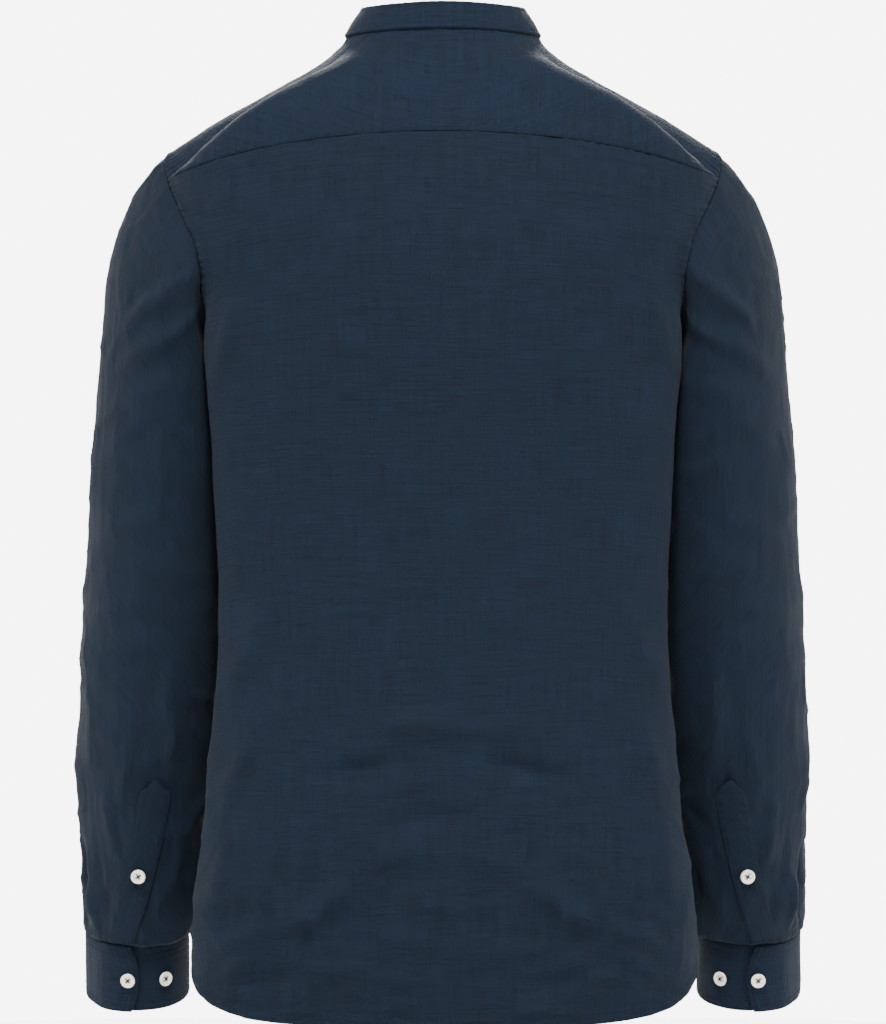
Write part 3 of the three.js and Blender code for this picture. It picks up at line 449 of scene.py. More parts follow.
def rest_on_torso(point, start):
    """The inner side of the sleeve lies against the side of the body."""
    row = row_at(TORSO, point[..., 2])
    fallen = start[..., 2] - point[..., 2]
    away = lerp(0.6, SLEEVE_CLEARANCE, smooth(fallen / 16))
    rest = side_x(np.clip(point[..., 1], row["front"] + 3, row["back"] - 3), point[..., 2]) + away
    over = (point[..., 0] - rest) / 2
    soft = np.where(over > 12, over, np.log1p(np.exp(np.minimum(over, 12))))
    x = lerp(point[..., 0], rest + soft * 2, smooth(fallen / 8))
    free = (point[..., 2] > -150) | (point[..., 1] > row["back"] - 2) | (point[..., 1] < row["front"] + 2)
    point[..., 0] = np.where(free, point[..., 0], x)
    return point


def sleeve_point(share, v):
    turn = sleeve_turn(share)
    start = armhole(share)
    tube = sleeve_ring(turn, lerp(SLEEVE_TOP, SLEEVE_END, np.maximum(v - 1, 0)))
    end = sleeve_ring(turn, np.full_like(turn, SLEEVE_TOP))
    height = (start[..., 2] - UNDERARM_Z) / (ARMHOLE[0][2] - UNDERARM_Z)
    leave = unit(stack(0.12 + 0.62 * height, 0.12 * np.sin(turn), -1 + 0.33 * height))
    arrive = unit(sleeve_ring(turn, np.full_like(turn, SLEEVE_TOP - 12)) - end)
    chord = np.linalg.norm(end - start, axis=-1, keepdims=True)
    cap = hermite(start, leave * chord, end, arrive * chord, np.clip(v, 0, 1)[..., None])
    return rest_on_torso(pick(v >= 1, tube, cap), start)


def lap_rise(turn, start, fade):
    return LAP_LIFT * smooth((turn - start + fade) / fade)


def band_point(turn, v):
    end = np.where(turn > 0, COLLAR_LAP["over"], -COLLAR_LAP["under"])
    corner = np.maximum(0, (np.abs(turn) - end + COLLAR_LAP["corner"]) / COLLAR_LAP["corner"]) ** 2
    low = neck_ring(NECK, np.radians(turn)) + np.array([0, 0, 0.3])
    point = lerp(low, neck_ring(BAND_TOP, np.radians(turn)), (v * (1 - 0.3 * corner))[..., None])
    away = unit(stack(point[..., 0], point[..., 1] - NECK_MIDDLE, 0 * turn))
    out = lap_rise(turn, COLLAR_LAP["from"], COLLAR_LAP["fade"]) + 1.2 * np.sin(math.pi * v)
    return point + away * out[..., None]


def cuff_point(part, v):
    end = CUFF_LAP["end"] - CUFF_LAP["corner"] * (2 * v - 1) ** 2
    turn = lerp(end, CUFF_LAP["end"] - CUFF_LAP["around"], part)
    rise = lap_rise(turn, CUFF_LAP["end"] - CUFF_LAP["over"], CUFF_LAP["fade"])
    across = CUFF["width"] / 2 + rise
    deep = (CUFF["depth"] / 2 + rise) * np.sin(np.radians(turn))
    z = lerp(CUFF["top"], CUFF["bottom"], v) - CUFF["lean"] * deep
    x = CUFF["outer"] - CUFF["width"] / 2 + across * np.cos(np.radians(turn))
    return stack(x, CUFF["middle"] + CUFF["drift"] * v + deep, z)


def tower_point(across, v):
    turn = lerp(TOWER["top_turn"], TOWER["bottom_turn"], v) + TOWER["bow"] * 4 * v * (1 - v)
    level = lerp(TOWER["top"] - TOWER["point"] * np.abs(across), TOWER["bottom"], v)
    full = np.maximum(level, SLEEVE_FULL_END)
    radius = row_at(SLEEVE, full)["width"] / 2
    half = lerp(TOWER["top_half"], TOWER["bottom_half"], v)
    point = sleeve_ring(np.radians(turn) + across * half / radius, full)
    point[..., 2] += level - full
    return point


def noise(points, cell, seed):
    """Smooth value noise of points in millimetres, from -1 to 1."""
    p = np.asarray(points, float) / cell + seed * 17.31
    base = np.floor(p).astype(np.int64)
    t = p - base
    t = t * t * (3 - 2 * t)
    total = np.zeros(p.shape[:-1])
    for corner in range(8):
        step = np.array([corner & 1, corner >> 1 & 1, corner >> 2 & 1])
        q = base + step
        mixed = (q[..., 0] * 73856093) ^ (q[..., 1] * 19349663) ^ (q[..., 2] * 83492791) ^ (seed * 2654435761)
        mixed = (mixed ^ (mixed >> 13)) * 1274126177
        value = ((mixed ^ (mixed >> 16)) & 0xFFFF) / 32767.5 - 1
        weight = np.where(step == 1, t, 1 - t).prod(axis=-1)
        total += value * weight
    return total


def add_folds(a, b, folds, wobble, gain):
    """Soft ridges and troughs on a panel, a across and b up, both in millimetres."""
    height = np.zeros_like(a)
    for x, z, tilt, long, wide, high in folds:
        turn = math.radians(tilt)
        da, db = a - x, b - z
        along = da * math.cos(turn) - db * math.sin(turn)
        across = da * math.sin(turn) + db * math.cos(turn) + wobble * wide * 0.35
        reach = np.clip(1 - (along / long) ** 2, 0, 1)
        width = wide * (0.75 + 0.35 * reach)
        height += high * gain * reach ** 1.6 * np.exp(-((across / width) ** 2))
    return height


class Sheet:
    """A grid of points with its normals, its grain and the distance to each edge, in millimetres."""

    def __init__(self, columns, rows, place, around=False, flip=False):
        self.u, self.v = np.meshgrid(columns, rows)
        self.middle = int(np.argmin(np.abs(columns)))
        self.points = place(self.u, self.v)
        self.around = around
        self.sign = -1 if flip else 1
        self.measure()

    def measure(self):
        p = self.points
        if self.around:
            along = np.roll(p, -1, axis=1) - np.roll(p, 1, axis=1)
        else:
            along = np.gradient(p, axis=1)
        self.normals = unit(np.cross(np.gradient(p, axis=0), along)) * self.sign
        step_u = np.linalg.norm(np.diff(p, axis=1, append=p[:, :1] if self.around else p[:, -1:]), axis=-1)
        step_v = np.linalg.norm(np.diff(p, axis=0, append=p[-1:]), axis=-1)
        self.across = np.cumsum(step_u, axis=1) - step_u
        self.down = np.cumsum(step_v, axis=0) - step_v
        self.girth = step_u.sum(axis=1, keepdims=True)
        self.from_right = self.girth - self.across
        self.from_bottom = step_v.sum(axis=0, keepdims=True) - self.down

    def raise_by(self, height):
        self.points = self.points + self.normals * height[..., None]
        self.measure()


def puckers(along, distance, reach, seed, pitch=6.0):
    """Small gathers that stand across a stitched line and fade away from it."""
    wander = noise(stack(along, 0 * along, 0 * along), pitch * 1.7, seed) * pitch * 0.7
    wave = np.sin((along + wander) / pitch * 2 * math.pi)
    strength = 0.55 + 0.45 * noise(stack(along, 0 * along, 0 * along), pitch * 4, seed + 3)
    return wave * strength * np.exp(-np.abs(distance) / reach)


def shell_mesh(name, sheet, thick, lift=0.0, mirrored=False):
    """A thin shell on the sheet, its inner side moved in by the cloth; the grain is a UV map in metres."""
    outer = sheet.points + sheet.normals * lift
    inner = sheet.points + sheet.normals * (lift - thick)
    rows, width = outer.shape[:2]
    places = np.concatenate([outer.reshape(-1, 3), inner.reshape(-1, 3)]) * MM
    if mirrored:
        places[:, 0] *= -1
    j, i = np.meshgrid(np.arange(rows - 1), np.arange(width if sheet.around else width - 1), indexing="ij")
    nxt = (i + 1) % width
    a, b, c, d = j * width + i, (j + 1) * width + i, (j + 1) * width + nxt, j * width + nxt
    n = rows * width
    outside, inside = np.stack([a, b, c, d], -1), np.stack([a + n, d + n, c + n, b + n], -1)
    faces = [outside.reshape(-1, 4), inside.reshape(-1, 4)]
    i = np.arange(width if sheet.around else width - 1)
    nxt = (i + 1) % width
    faces.append(np.stack([i, nxt, nxt + n, i + n], -1))
    last = (rows - 1) * width
    faces.append(np.stack([last + nxt, last + i, last + i + n, last + nxt + n], -1))
    if not sheet.around:
        j = np.arange(rows - 1) * width
        faces.append(np.stack([j + width, j, j + n, j + width + n], -1))
        k = j + width - 1
        faces.append(np.stack([k, k + width, k + width + n, k + n], -1))
    faces = np.concatenate(faces)
    if (sheet.sign < 0) != mirrored:
        faces = faces[:, ::-1]
    mesh = bpy.data.meshes.new(name)
    mesh.from_pydata(places.tolist(), [], faces.tolist())
    from_middle = sheet.across - sheet.across[:, sheet.middle:sheet.middle + 1]
    grain = np.stack([from_middle, sheet.down], -1).reshape(-1, 2) * MM
    grain = np.concatenate([grain, grain])
    corners = np.empty(len(mesh.loops), dtype=np.int32)
    mesh.loops.foreach_get("vertex_index", corners)
    corners = corners.reshape(-1, 4)
    places = grain[corners]
    if sheet.around:
        column = corners % width
        closing = (column == 0) & (column.max(axis=1, keepdims=True) == width - 1)
        girth = np.concatenate([sheet.girth[:, 0], sheet.girth[:, 0]])[corners // width] * MM
        places[..., 0] += np.where(closing, girth, 0)
    layer = mesh.uv_layers.new(name="grain")
    layer.data.foreach_set("uv", places.astype(np.float32).ravel())
    mesh.shade_smooth()
    return mesh


def place_piece(name, mesh, material, replaced):
    obj = bpy.data.objects.new(name, mesh)
    bpy.context.scene.collection.objects.link(obj)
    obj.data.materials.append(material)
    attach(obj, "root")
    if replaced:
        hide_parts(*replaced)
    return obj


class Socket:
    """A shader value that takes part in Python expressions; each operation adds its Math node."""

    def __init__(self, tree, link):
        self.tree, self.link = tree, link

    def _math(self, operation, first, second):
        return self.tree.node("ShaderNodeMath", {"operation": operation}, {0: first, 1: second})

    def __add__(self, other):
        return self._math("ADD", self, other)

    def __radd__(self, other):
        return self._math("ADD", other, self)

    def __sub__(self, other):
        return self._math("SUBTRACT", self, other)

    def __rsub__(self, other):
        return self._math("SUBTRACT", other, self)

    def __mul__(self, other):
        return self._math("MULTIPLY", self, other)

    def __rmul__(self, other):
        return self._math("MULTIPLY", other, self)


class Finish:
    """One material or world and the nodes that make it."""

    def __init__(self, name, made=None, shader="Principled BSDF"):
        self.material = made or bpy.data.materials.new(name)
        self.material.use_nodes = True
        self.nodes = self.material.node_tree.nodes
        self.links = self.material.node_tree.links
        self.shader = self.nodes[shader]

    def set_input(self, socket, value):
        if isinstance(value, Socket):
            self.links.new(value.link, socket)
        else:
            socket.default_value = value

    def node(self, kind, settings=None, inputs=None, output=0):
        """Add a node: its settings first, then the values or links of its sockets; gives one output."""
        node = self.nodes.new(kind)
        for name, value in (settings or {}).items():
            setattr(node, name, value)
        for name, value in (inputs or {}).items():
            self.set_input(node.inputs[name], value)
        return Socket(self, node.outputs[output])

    def grain(self, across_mm, down_mm, offset=0.0):
        """The cloth's grain as a vector, one unit to each of the given lengths."""
        place = self.node("ShaderNodeUVMap", {"uv_map": "grain"})
        scale = (1 / (across_mm * MM), 1 / (down_mm * MM), 1)
        return self.node("ShaderNodeMapping", {}, {0: place, 1: (offset, offset, offset), 3: scale})

    def noise(self, vector, detail=2.0, roughness=0.5, scale=1.0):
        inputs = {"Vector": vector, "Scale": scale, "Detail": detail, "Roughness": roughness}
        return self.node("ShaderNodeTexNoise", {}, inputs)

    def mix(self, factor, first, second, blend="MIX"):
        inputs = {0: factor, 6: first, 7: second}
        return self.node("ShaderNodeMix", {"data_type": "RGBA", "blend_type": blend}, inputs, 2)

    def bump(self, height, strength, distance):
        inputs = {"Strength": strength, "Distance": distance, "Height": height}
        return self.node("ShaderNodeBump", {}, inputs)

    def surface(self, **values):
        for name, value in values.items():
            self.set_input(self.shader.inputs[name.replace("_", " ")], value)
        return self.material


def linen_finish(name, dark, light, slub, sheen):
    """Plain-woven linen: uneven warp and weft threads, a dusty face and a slight tone change."""
    f = Finish(name)
    warp = f.noise(f.grain(1.25, 17), 3, 0.7)
    weft = f.noise(f.grain(19, 1.25, 5.0), 3, 0.7)
    thick_warp = f.noise(f.grain(2.3, 58, 11.0), 2, 0.5)
    thick_weft = f.noise(f.grain(44, 2.1, 23.0), 2, 0.5)
    cloud = f.noise(f.grain(38, 46, 3.0), 3, 0.6)
    fleck = f.noise(f.grain(1.1, 1.1, 31.0), 2, 0.6)
    threads = (warp + weft - 1.0) * slub + (thick_warp + thick_weft - 1.0) * (slub * 0.7)
    tone = threads + (cloud - 0.5) * 0.7 + (fleck - 0.5) * 1.1 + 0.5
    tone = f.node("ShaderNodeClamp", {}, {0: tone, 1: 0.0, 2: 1.0})
    colour = f.mix(tone, dark, light)
    rough = 0.86 + (cloud - 0.5) * 0.16 + (warp - 0.5) * 0.1
    height = (warp + weft) * 0.8 + (thick_warp + thick_weft) * 0.7 + fleck * 0.35 + cloud * 0.3
    f.shader.inputs["Sheen Weight"].default_value = sheen
    f.shader.inputs["Sheen Roughness"].default_value = 0.5
    f.shader.inputs["Specular IOR Level"].default_value = 0.06
    return f.surface(Base_Color=colour, Roughness=rough, Normal=f.bump(height, 0.75, 0.0011))


def shade_of(colour, share):
    return tuple(min(1, part * share) for part in colour[:3]) + (1,)


def thread_finish(name, colour):
    """Twisted sewing thread in two close tones."""
    f = Finish(name)
    place = f.node("ShaderNodeTexCoord", {}, {}, 3)
    twist = f.noise(place, 1, 0.5, 900.0)
    tone = f.mix(twist, shade_of(colour, 0.7), shade_of(colour, 1.35))
    f.shader.inputs["Specular IOR Level"].default_value = 0.08
    return f.surface(Base_Color=tone, Roughness=0.7 + twist * 0.2, Normal=f.bump(twist, 0.3, 0.0002))


def button_finish(name, colour):
    """Smooth polyester with a faint cloudy swirl and a satin rim."""
    f = Finish(name)
    place = f.node("ShaderNodeTexCoord", {}, {}, 3)
    swirl = f.noise(place, 3, 0.6, 260.0)
    tone = f.mix(swirl, shade_of(colour, 0.72), shade_of(colour, 1.18))
    f.shader.inputs["Coat Roughness"].default_value = 0.25
    return f.surface(Base_Color=tone, Roughness=0.3 + swirl * 0.16, Coat_Weight=0.3,
                     Normal=f.bump(swirl, 0.08, 0.0002))


class ShirtSizes(PropertyGroup):
    """Sizes that a user would change."""

    cloth: FloatProperty(name="Cloth", description="Thickness of one layer of cloth", default=0.9 * MM,
                         min=0.0003, max=0.0013, unit="LENGTH")
    stitch: FloatProperty(name="Stitch", description="Length of one stitch", default=2.3 * MM,
                          min=0.001, max=0.005, unit="LENGTH")
    body_folds: FloatProperty(name="Body folds", description="Depth of the folds of the back and fronts",
                              default=BODY_GAIN, min=0, max=5)
    sleeve_folds: FloatProperty(name="Sleeve folds", description="Depth of the folds of the sleeves",
                                default=SLEEVE_GAIN, min=0, max=3)
    crumples: FloatProperty(name="Crumples", description="Depth of the linen's fine crumples",
                            default=CRUMPLE_GAIN, min=0, max=3)


class ShirtColours(PropertyGroup):
    """Colours that a user would change."""

    deep: FloatVectorProperty(name="Deep navy", description="Thread in shade", subtype="COLOR", size=4,
                              default=(0.0009, 0.0022, 0.0047, 1), min=0, max=1)
    pale: FloatVectorProperty(name="Pale navy", description="Thread in light", subtype="COLOR", size=4,
                              default=(0.0021, 0.0049, 0.0102, 1), min=0, max=1)
    thread: FloatVectorProperty(name="Thread", description="Sewing thread", subtype="COLOR", size=4,
                                default=(0.0014, 0.0028, 0.0058, 1), min=0, max=1)
    button: FloatVectorProperty(name="Button", description="Button face", subtype="COLOR", size=4,
                                default=(0.42, 0.39, 0.34, 1), min=0, max=1)


def graded(lines):
    """Grid lines from rows of a place and the number of steps to the next place."""
    parts = [np.linspace(a[0], b[0], a[1], endpoint=False) for a, b in zip(lines, lines[1:])]
    return np.concatenate(parts + [[lines[-1][0]]])


def tube_v(level):
    return 1 + (level - SLEEVE_TOP) / (SLEEVE_END - SLEEVE_TOP)


def rolled(distance, depth, reach=0.7):
    """The cloth rolls down towards its edge or seam."""
    return -depth * np.exp(-distance / reach)


def lower_part(name, level):
    """0 in the upper part of a panel, and 1 lower down, where the folds gather."""
    start, reach = CRUMPLED[name][2:]
    return smooth((start - level) / reach)


def crumple(points, seed, name):
    """Uneven linen: soft swells, sharper crease lines and a fine grain, in millimetres."""
    whole, more = CRUMPLED[name][:2]
    amount = whole + more * lower_part(name, points[..., 2])
    bent = points + 8 * stack(*(noise(points, 34, seed + k) for k in (11, 12, 13)))
    soft = 0.55 * noise(points, 66, seed) + 0.3 * noise(points, 27, seed + 1)
    sharp = (1 - np.abs(noise(bent, 30, seed + 2))) ** 5 + (1 - np.abs(noise(bent, 17, seed + 3))) ** 6 * 0.5
    return (soft * 0.8 + (sharp - 0.25) * 1.25 + 0.1 * noise(points, 8, seed + 5)) * amount


def stitch_groove(distance, rows):
    return -0.34 * sum(np.exp(-(((distance - row) / 0.9) ** 2)) for row in rows)


def seam(along, distance, seed, rows=SEAM_ROWS, rise=0.7, wide=8.0, pull=0.95, reach=5.5, pitch=6.4):
    """The turned-in edge of a sewn seam: a raised strip, its stitch grooves and gathers across it."""
    strip = rise * (1 - smooth((distance - wide) / 2.4 + 0.5)) + rolled(distance, 0.5, 0.8)
    gather = puckers(along, distance - wide / 2, reach, seed, pitch) * pull
    return strip + stitch_groove(distance, rows) + gather


def hem(along, distance, seed):
    """The turned hem: a raised strip, its stitch groove and long soft waves."""
    strip = 0.5 * (1 - smooth((distance - HEM_DEEP) / 1.6 + 0.5))
    waves = puckers(along, distance, 9, seed, 16) * 0.5 + puckers(along, distance - 5, 5, seed + 1, 6) * 0.3
    return strip + stitch_groove(distance, HEM_ROWS) + waves


def grained(points, squeeze, cell, seed):
    """Noise drawn out along a direction: squeeze is how much each axis counts."""
    return noise(points * np.array(squeeze), cell, seed)


def back_sheet(sizes):
    sheet = Sheet(graded(GRIDS["back"]), graded(GRIDS["back_down"]), back_point, flip=True)
    x, z = sheet.points[..., 0], sheet.points[..., 2]
    wobble = noise(sheet.points, 30, 5)
    low = lower_part("back", z)
    height = add_folds(x, z, BACK_FOLDS + BACK_CREASES, wobble, sizes.body_folds)
    height += crumple(sheet.points, 3, "back") * sizes.crumples
    height += grained(sheet.points, ACROSS, 7, 15) * (0.12 + 0.42 * low)
    height += grained(sheet.points, DOWN, 6, 17) * 0.16
    sheet.raise_by(height)
    arm = np.where(sheet.v <= 1, np.minimum(sheet.across, sheet.from_right), NO_SEAM)
    detail = seam(sheet.down, arm, 41)
    detail += rolled(sheet.down, 0.45, 1.0) + puckers(x, sheet.down, 12, 42, 7.5) * 0.5
    detail += hem(x, sheet.from_bottom, 43)
    sheet.raise_by(detail)
    return sheet


def yoke_place(c, t):
    point = cape(np.abs(c), t)
    point[..., 0] *= np.where(c < 0, -1, 1)
    return point


def yoke_sheet(sizes):
    sheet = Sheet(graded(GRIDS["yoke"]), graded(GRIDS["yoke_down"]), yoke_place, flip=True)
    sheet.raise_by(crumple(sheet.points, 9, "yoke") * sizes.crumples)
    outer = sheet.from_bottom
    back = np.abs(sheet.u) <= 1
    along = np.where(back, sheet.points[..., 0], sheet.points[..., 1] + 300)
    lower = seam(along, outer, 44, rows=YOKE_ROWS, rise=0.7, wide=7, pull=0.75, reach=8, pitch=8)
    over = seam(along, outer, 45)
    blend = smooth((np.abs(sheet.u) - 0.97) / 0.06)
    ends = np.minimum(sheet.across, sheet.from_right)
    front = seam(sheet.v * 150, ends, 46, rows=YOKE_ROWS, rise=0.45, wide=7, pull=0.25)
    neck = puckers(sheet.across, sheet.down, 8, 47, 7) * 0.25
    sheet.raise_by(lerp(lower, over, blend) + front + neck)
    return sheet


def front_sheet(sizes, meet, seed, folds):
    rows = graded(GRIDS["front_down"])
    starts = part_across(np.float64(meet), rows)
    place = lambda w, v: front_place(lerp(np.broadcast_to(starts[:, None], w.shape), 1, w), v)
    sheet = Sheet(graded(GRIDS["front"]), rows, place)
    x, z = sheet.points[..., 0], sheet.points[..., 2]
    wobble = noise(sheet.points, 30, seed)
    still = smooth((sheet.across - 6) / 14)
    height = add_folds(x, z, folds, wobble, sizes.body_folds) * still
    fine = crumple(sheet.points, seed + 1, "front") * sizes.crumples
    sheet.raise_by(height + fine * (0.25 + 0.75 * still))
    arm = np.where((sheet.v >= 0) & (sheet.v <= 1), sheet.from_right, NO_SEAM)
    detail = seam(sheet.down, arm, seed + 2) + hem(x, sheet.from_bottom, seed + 3)
    sheet.raise_by(detail)
    return sheet


def strip_sheet():
    place = lambda x, v: front_place(part_across(x, v), v)
    sheet = Sheet(graded(GRIDS["strip"]), graded(GRIDS["strip_down"]), place)
    edge = np.minimum(sheet.across, sheet.from_right)
    level = sheet.points[..., 2]
    waves = puckers(level, edge - 4, 5, 61, 8) * 0.22 + noise(sheet.points, 40, 62) * 0.3
    sheet.raise_by(waves + stitch_groove(edge, STRIP_ROWS) + rolled(edge, 0.35))
    return sheet


def band_sheet():
    sheet = Sheet(graded(GRIDS["band"]), graded(GRIDS["band_down"]), band_point, flip=True)
    edge = np.minimum(sheet.down, sheet.from_bottom)
    ends = np.minimum(sheet.across, sheet.from_right)
    soft = noise(sheet.points, 38, 71) * 0.5 + noise(sheet.points, 15, 72) * 0.16
    gather = puckers(sheet.across, edge - 3, 4, 73, 7) * 0.2
    nearest = np.minimum(edge, ends)
    sheet.raise_by(soft + gather + stitch_groove(nearest, BAND_ROWS) + rolled(nearest, 0.6))
    return sheet


def sleeve_sheet(sizes, seed, drift):
    columns = np.linspace(0, 1, SLEEVE_COLUMNS, endpoint=False)
    rows = graded(((0, 8), (0.06, 46), (1, 120), (tube_v(-678), 8), (tube_v(-688), 6), (2, 0)))
    sheet = Sheet(columns, rows, sleeve_point, around=True)
    sheet.points[..., 0] += SLEEVE_SHIFT
    turn = np.degrees(sleeve_turn(sheet.u))
    level = sheet.points[..., 2]
    wobble = noise(sheet.points, 26, seed)
    height = crumple(sheet.points, seed + 1, "sleeve") * sizes.crumples
    height += grained(sheet.points, SLEEVE_DOWN, 6.5, seed + 7) * (0.34 + 0.4 * lower_part("sleeve", level))
    height += grained(sheet.points, SLEEVE_ACROSS, 8, seed + 8) * 0.3
    for places, sway in ((SLEEVE_FOLDS, 0), (SLEEVE_CREASES, drift)):
        for fold in places:
            around = ((turn - fold[0] - sway + 540) % 360 - 180) * math.radians(SLEEVE_RADIUS)
            height += add_folds(around, level - fold[1], [(0, 0) + fold[2:]], wobble, sizes.sleeve_folds)
    free = smooth(sheet.down / 10) * smooth(sheet.from_bottom / 12)
    sheet.raise_by(height * (0.15 + 0.85 * free))
    along = sheet.across[:1] + 0 * sheet.down
    head = puckers(along, sheet.down, 9, seed + 2, 7.5) * 0.8 + rolled(sheet.down, 0.7, 1.2)
    at_cuff = (sheet.from_bottom < CUFF_GATHERS) * smooth((sheet.from_bottom - 4) / 8)
    sheet.raise_by(head + puckers(along, sheet.from_bottom, 16, seed + 3, 9) * 0.9 * at_cuff)
    return sheet


def cuff_sheet(seed):
    sheet = Sheet(graded(GRIDS["cuff"]), graded(GRIDS["cuff_down"]), cuff_point, flip=True)
    edge = np.minimum(sheet.down, sheet.from_bottom)
    ends = np.minimum(sheet.across, sheet.from_right)
    soft = noise(sheet.points, 34, seed) * 0.6 + noise(sheet.points, 15, seed + 1) * 0.28
    gather = puckers(sheet.across, edge - 3, 6, seed + 2, 7) * 0.3
    nearest = np.minimum(edge, ends)
    sheet.raise_by(soft + gather + stitch_groove(nearest, CUFF_ROWS) + rolled(nearest, 0.6))
    return sheet


def tower_sheet(seed):
    sheet = Sheet(graded(GRIDS["tower"]), graded(GRIDS["tower_down"]), tower_point)
    edge = np.minimum(np.minimum(sheet.across, sheet.from_right), sheet.down + 1)
    waves = puckers(sheet.points[..., 2], edge - 3, 9, seed, 8.5) * 0.62
    waves += noise(sheet.points, 22, seed + 1) * 0.4
    sheet.raise_by(waves + stitch_groove(edge, TOWER_ROWS) + rolled(edge, 0.3))
    return sheet


def edge_line(sheet, side, distance, lift, part=None):
    """Points and normals along one edge of a sheet, a given distance in from it."""
    fields = {"left": sheet.across, "right": sheet.from_right, "top": sheet.down, "bottom": sheet.from_bottom}
    field = fields[side]
    both = np.concatenate([sheet.points + sheet.normals * lift, sheet.normals], axis=-1)
    if side in ("left", "right"):
        field, both = field.T, np.swapaxes(both, 0, 1)
    if side in ("right", "bottom"):
        field, both = field[::-1], both[::-1]
    chosen = range(field.shape[1]) if part is None else np.flatnonzero(part)
    line = np.array([[np.interp(distance, field[:, k], both[:, k, c]) for c in range(6)] for k in chosen])
    return line[:, :3], line[:, 3:]


def dashes(starts, ends, outs, wide=0.3, high=0.2):
    """Vertices and faces of short threads: three square rings each, with the ends dipped into the cloth."""
    ahead = unit(ends - starts)
    side = unit(np.cross(outs, ahead))
    rings = []
    for part, size, rise in ((0.0, 0.55, -0.12), (0.5, 1.0, 0.16), (1.0, 0.55, -0.12)):
        place = lerp(starts, ends, part)
        for a, b in ((-1, 0), (0, 1), (1, 0), (0, -1)):
            rings.append(place + side * (a * wide * size) + outs * (b * high * size + rise))
    verts = np.stack(rings, axis=1).reshape(-1, 3)
    one = [(r + k, r + (k + 1) % 4, r + 4 + (k + 1) % 4, r + 4 + k) for r in (0, 4) for k in range(4)]
    one = np.array(one + [(3, 2, 1, 0), (8, 9, 10, 11)])
    faces = (one[None] + 12 * np.arange(len(starts))[:, None, None]).reshape(-1, 4)
    return verts, faces


def stitch_line(points, normals, long):
    """Running stitches along a line, with a short gap between them."""
    gone = np.concatenate([[0], np.cumsum(np.linalg.norm(np.diff(points, axis=0), axis=1))])
    starts = np.arange(long * 0.3, gone[-1] - long, long * 1.3)
    at = lambda places, values: np.stack([np.interp(places, gone, values[:, k]) for k in range(3)], -1)
    return dashes(at(starts, points), at(starts + long, points), unit(at(starts + long / 2, normals)))


def joined(parts, sides=(1,)):
    """Several (vertices, faces) sets as one, repeated with x mirrored for a side of -1."""
    verts, faces, total = [], [], 0
    for v, f in parts:
        for side in sides:
            verts.append(v * np.array([side, 1, 1]))
            faces.append((f if side == 1 else f[:, ::-1]) + total)
            total += len(v)
    return np.concatenate(verts), np.concatenate(faces)


def plain_mesh(name, verts, faces):
    mesh = bpy.data.meshes.new(name)
    mesh.from_pydata((verts * MM).tolist(), [], faces.tolist())
    mesh.shade_smooth()
    return mesh


def surface_frames(place, u, v, du, dv):
    """Points on a surface with its two directions and its normals, which face away from the wearer."""
    u, v = np.broadcast_arrays(np.asarray(u, float), np.asarray(v, float))
    points = place(u, v)
    across = unit(place(u + du, v) - place(u - du, v))
    along = unit(place(u, v + dv) - place(u, v - dv))
    normals = unit(np.cross(across, along))
    on_arm = points[..., :1] > ARM_BEYOND
    middle = np.where(on_arm, np.array([ARM_MIDDLE, CUFF["middle"], 0]), 0)
    out = ((points - middle) * normals * np.array([1, 1, 0])).sum(axis=-1, keepdims=True)
    return points, across, along, normals * np.sign(out)


def button_form():
    """A dished four-hole button with a raised rim, flat on z = 0, as vertices and faces."""
    radii, count = np.array(BUTTON_RINGS), BUTTON["turns"]
    turns = np.linspace(0, 2 * math.pi, count, endpoint=False)
    rim = np.interp(radii, *BUTTON_FACE)
    r, a = np.meshgrid(radii, turns, indexing="ij")
    x, y = r * np.cos(a), r * np.sin(a)
    away = np.hypot(np.abs(x) - BUTTON["spread"], np.abs(y) - BUTTON["spread"])
    z = rim[:, None] - BUTTON["deep"] * (1 - smooth((away - BUTTON["hole"]) / 0.5 + 0.1))
    top = np.stack([x, y, z], -1)
    round_x, round_y = np.cos(turns), np.sin(turns)
    sides = [np.stack([q * round_x, q * round_y, np.full_like(turns, h)], -1) for q, h in BUTTON_BACK]
    rings = np.concatenate([top, np.stack(sides)])
    j, i = np.meshgrid(np.arange(len(rings) - 1) * count, np.arange(count), indexing="ij")
    nxt = (i + 1) % count
    faces = np.stack([j + i, j + count + i, j + count + nxt, j + nxt], -1)
    return rings.reshape(-1, 3), faces.reshape(-1, 4)


def button_threads():
    """Two sewing threads crossed over the dish, as vertices and faces in the button's own place."""
    s = BUTTON["spread"]
    starts, ends = [], []
    for shift in (-0.22, 0.0, 0.22):
        starts += [(-s + shift, -s - shift, 1.55), (-s + shift, s + shift, 1.7)]
        ends += [(s + shift, s - shift, 1.55), (s + shift, -s + shift, 1.7)]
    starts, ends = np.array(starts), np.array(ends)
    parts, last = [], starts
    for part, rise in THREAD_RISE:
        place = lerp(starts, ends, part) + np.array([0, 0, rise])
        parts.append(dashes(last, place, np.tile([0.0, 0.0, 1.0], (len(starts), 1)), 0.24, 0.2))
        last = place
    return joined(parts)


def set_in(form, frame, lift):
    """A form moved onto a surface, its own z along the surface's normal."""
    verts, faces = form
    point, across, along, normal = (part[0] for part in frame)
    side = unit(np.cross(along, normal))
    return point + normal * lift + verts @ np.stack([side, along, normal]), faces


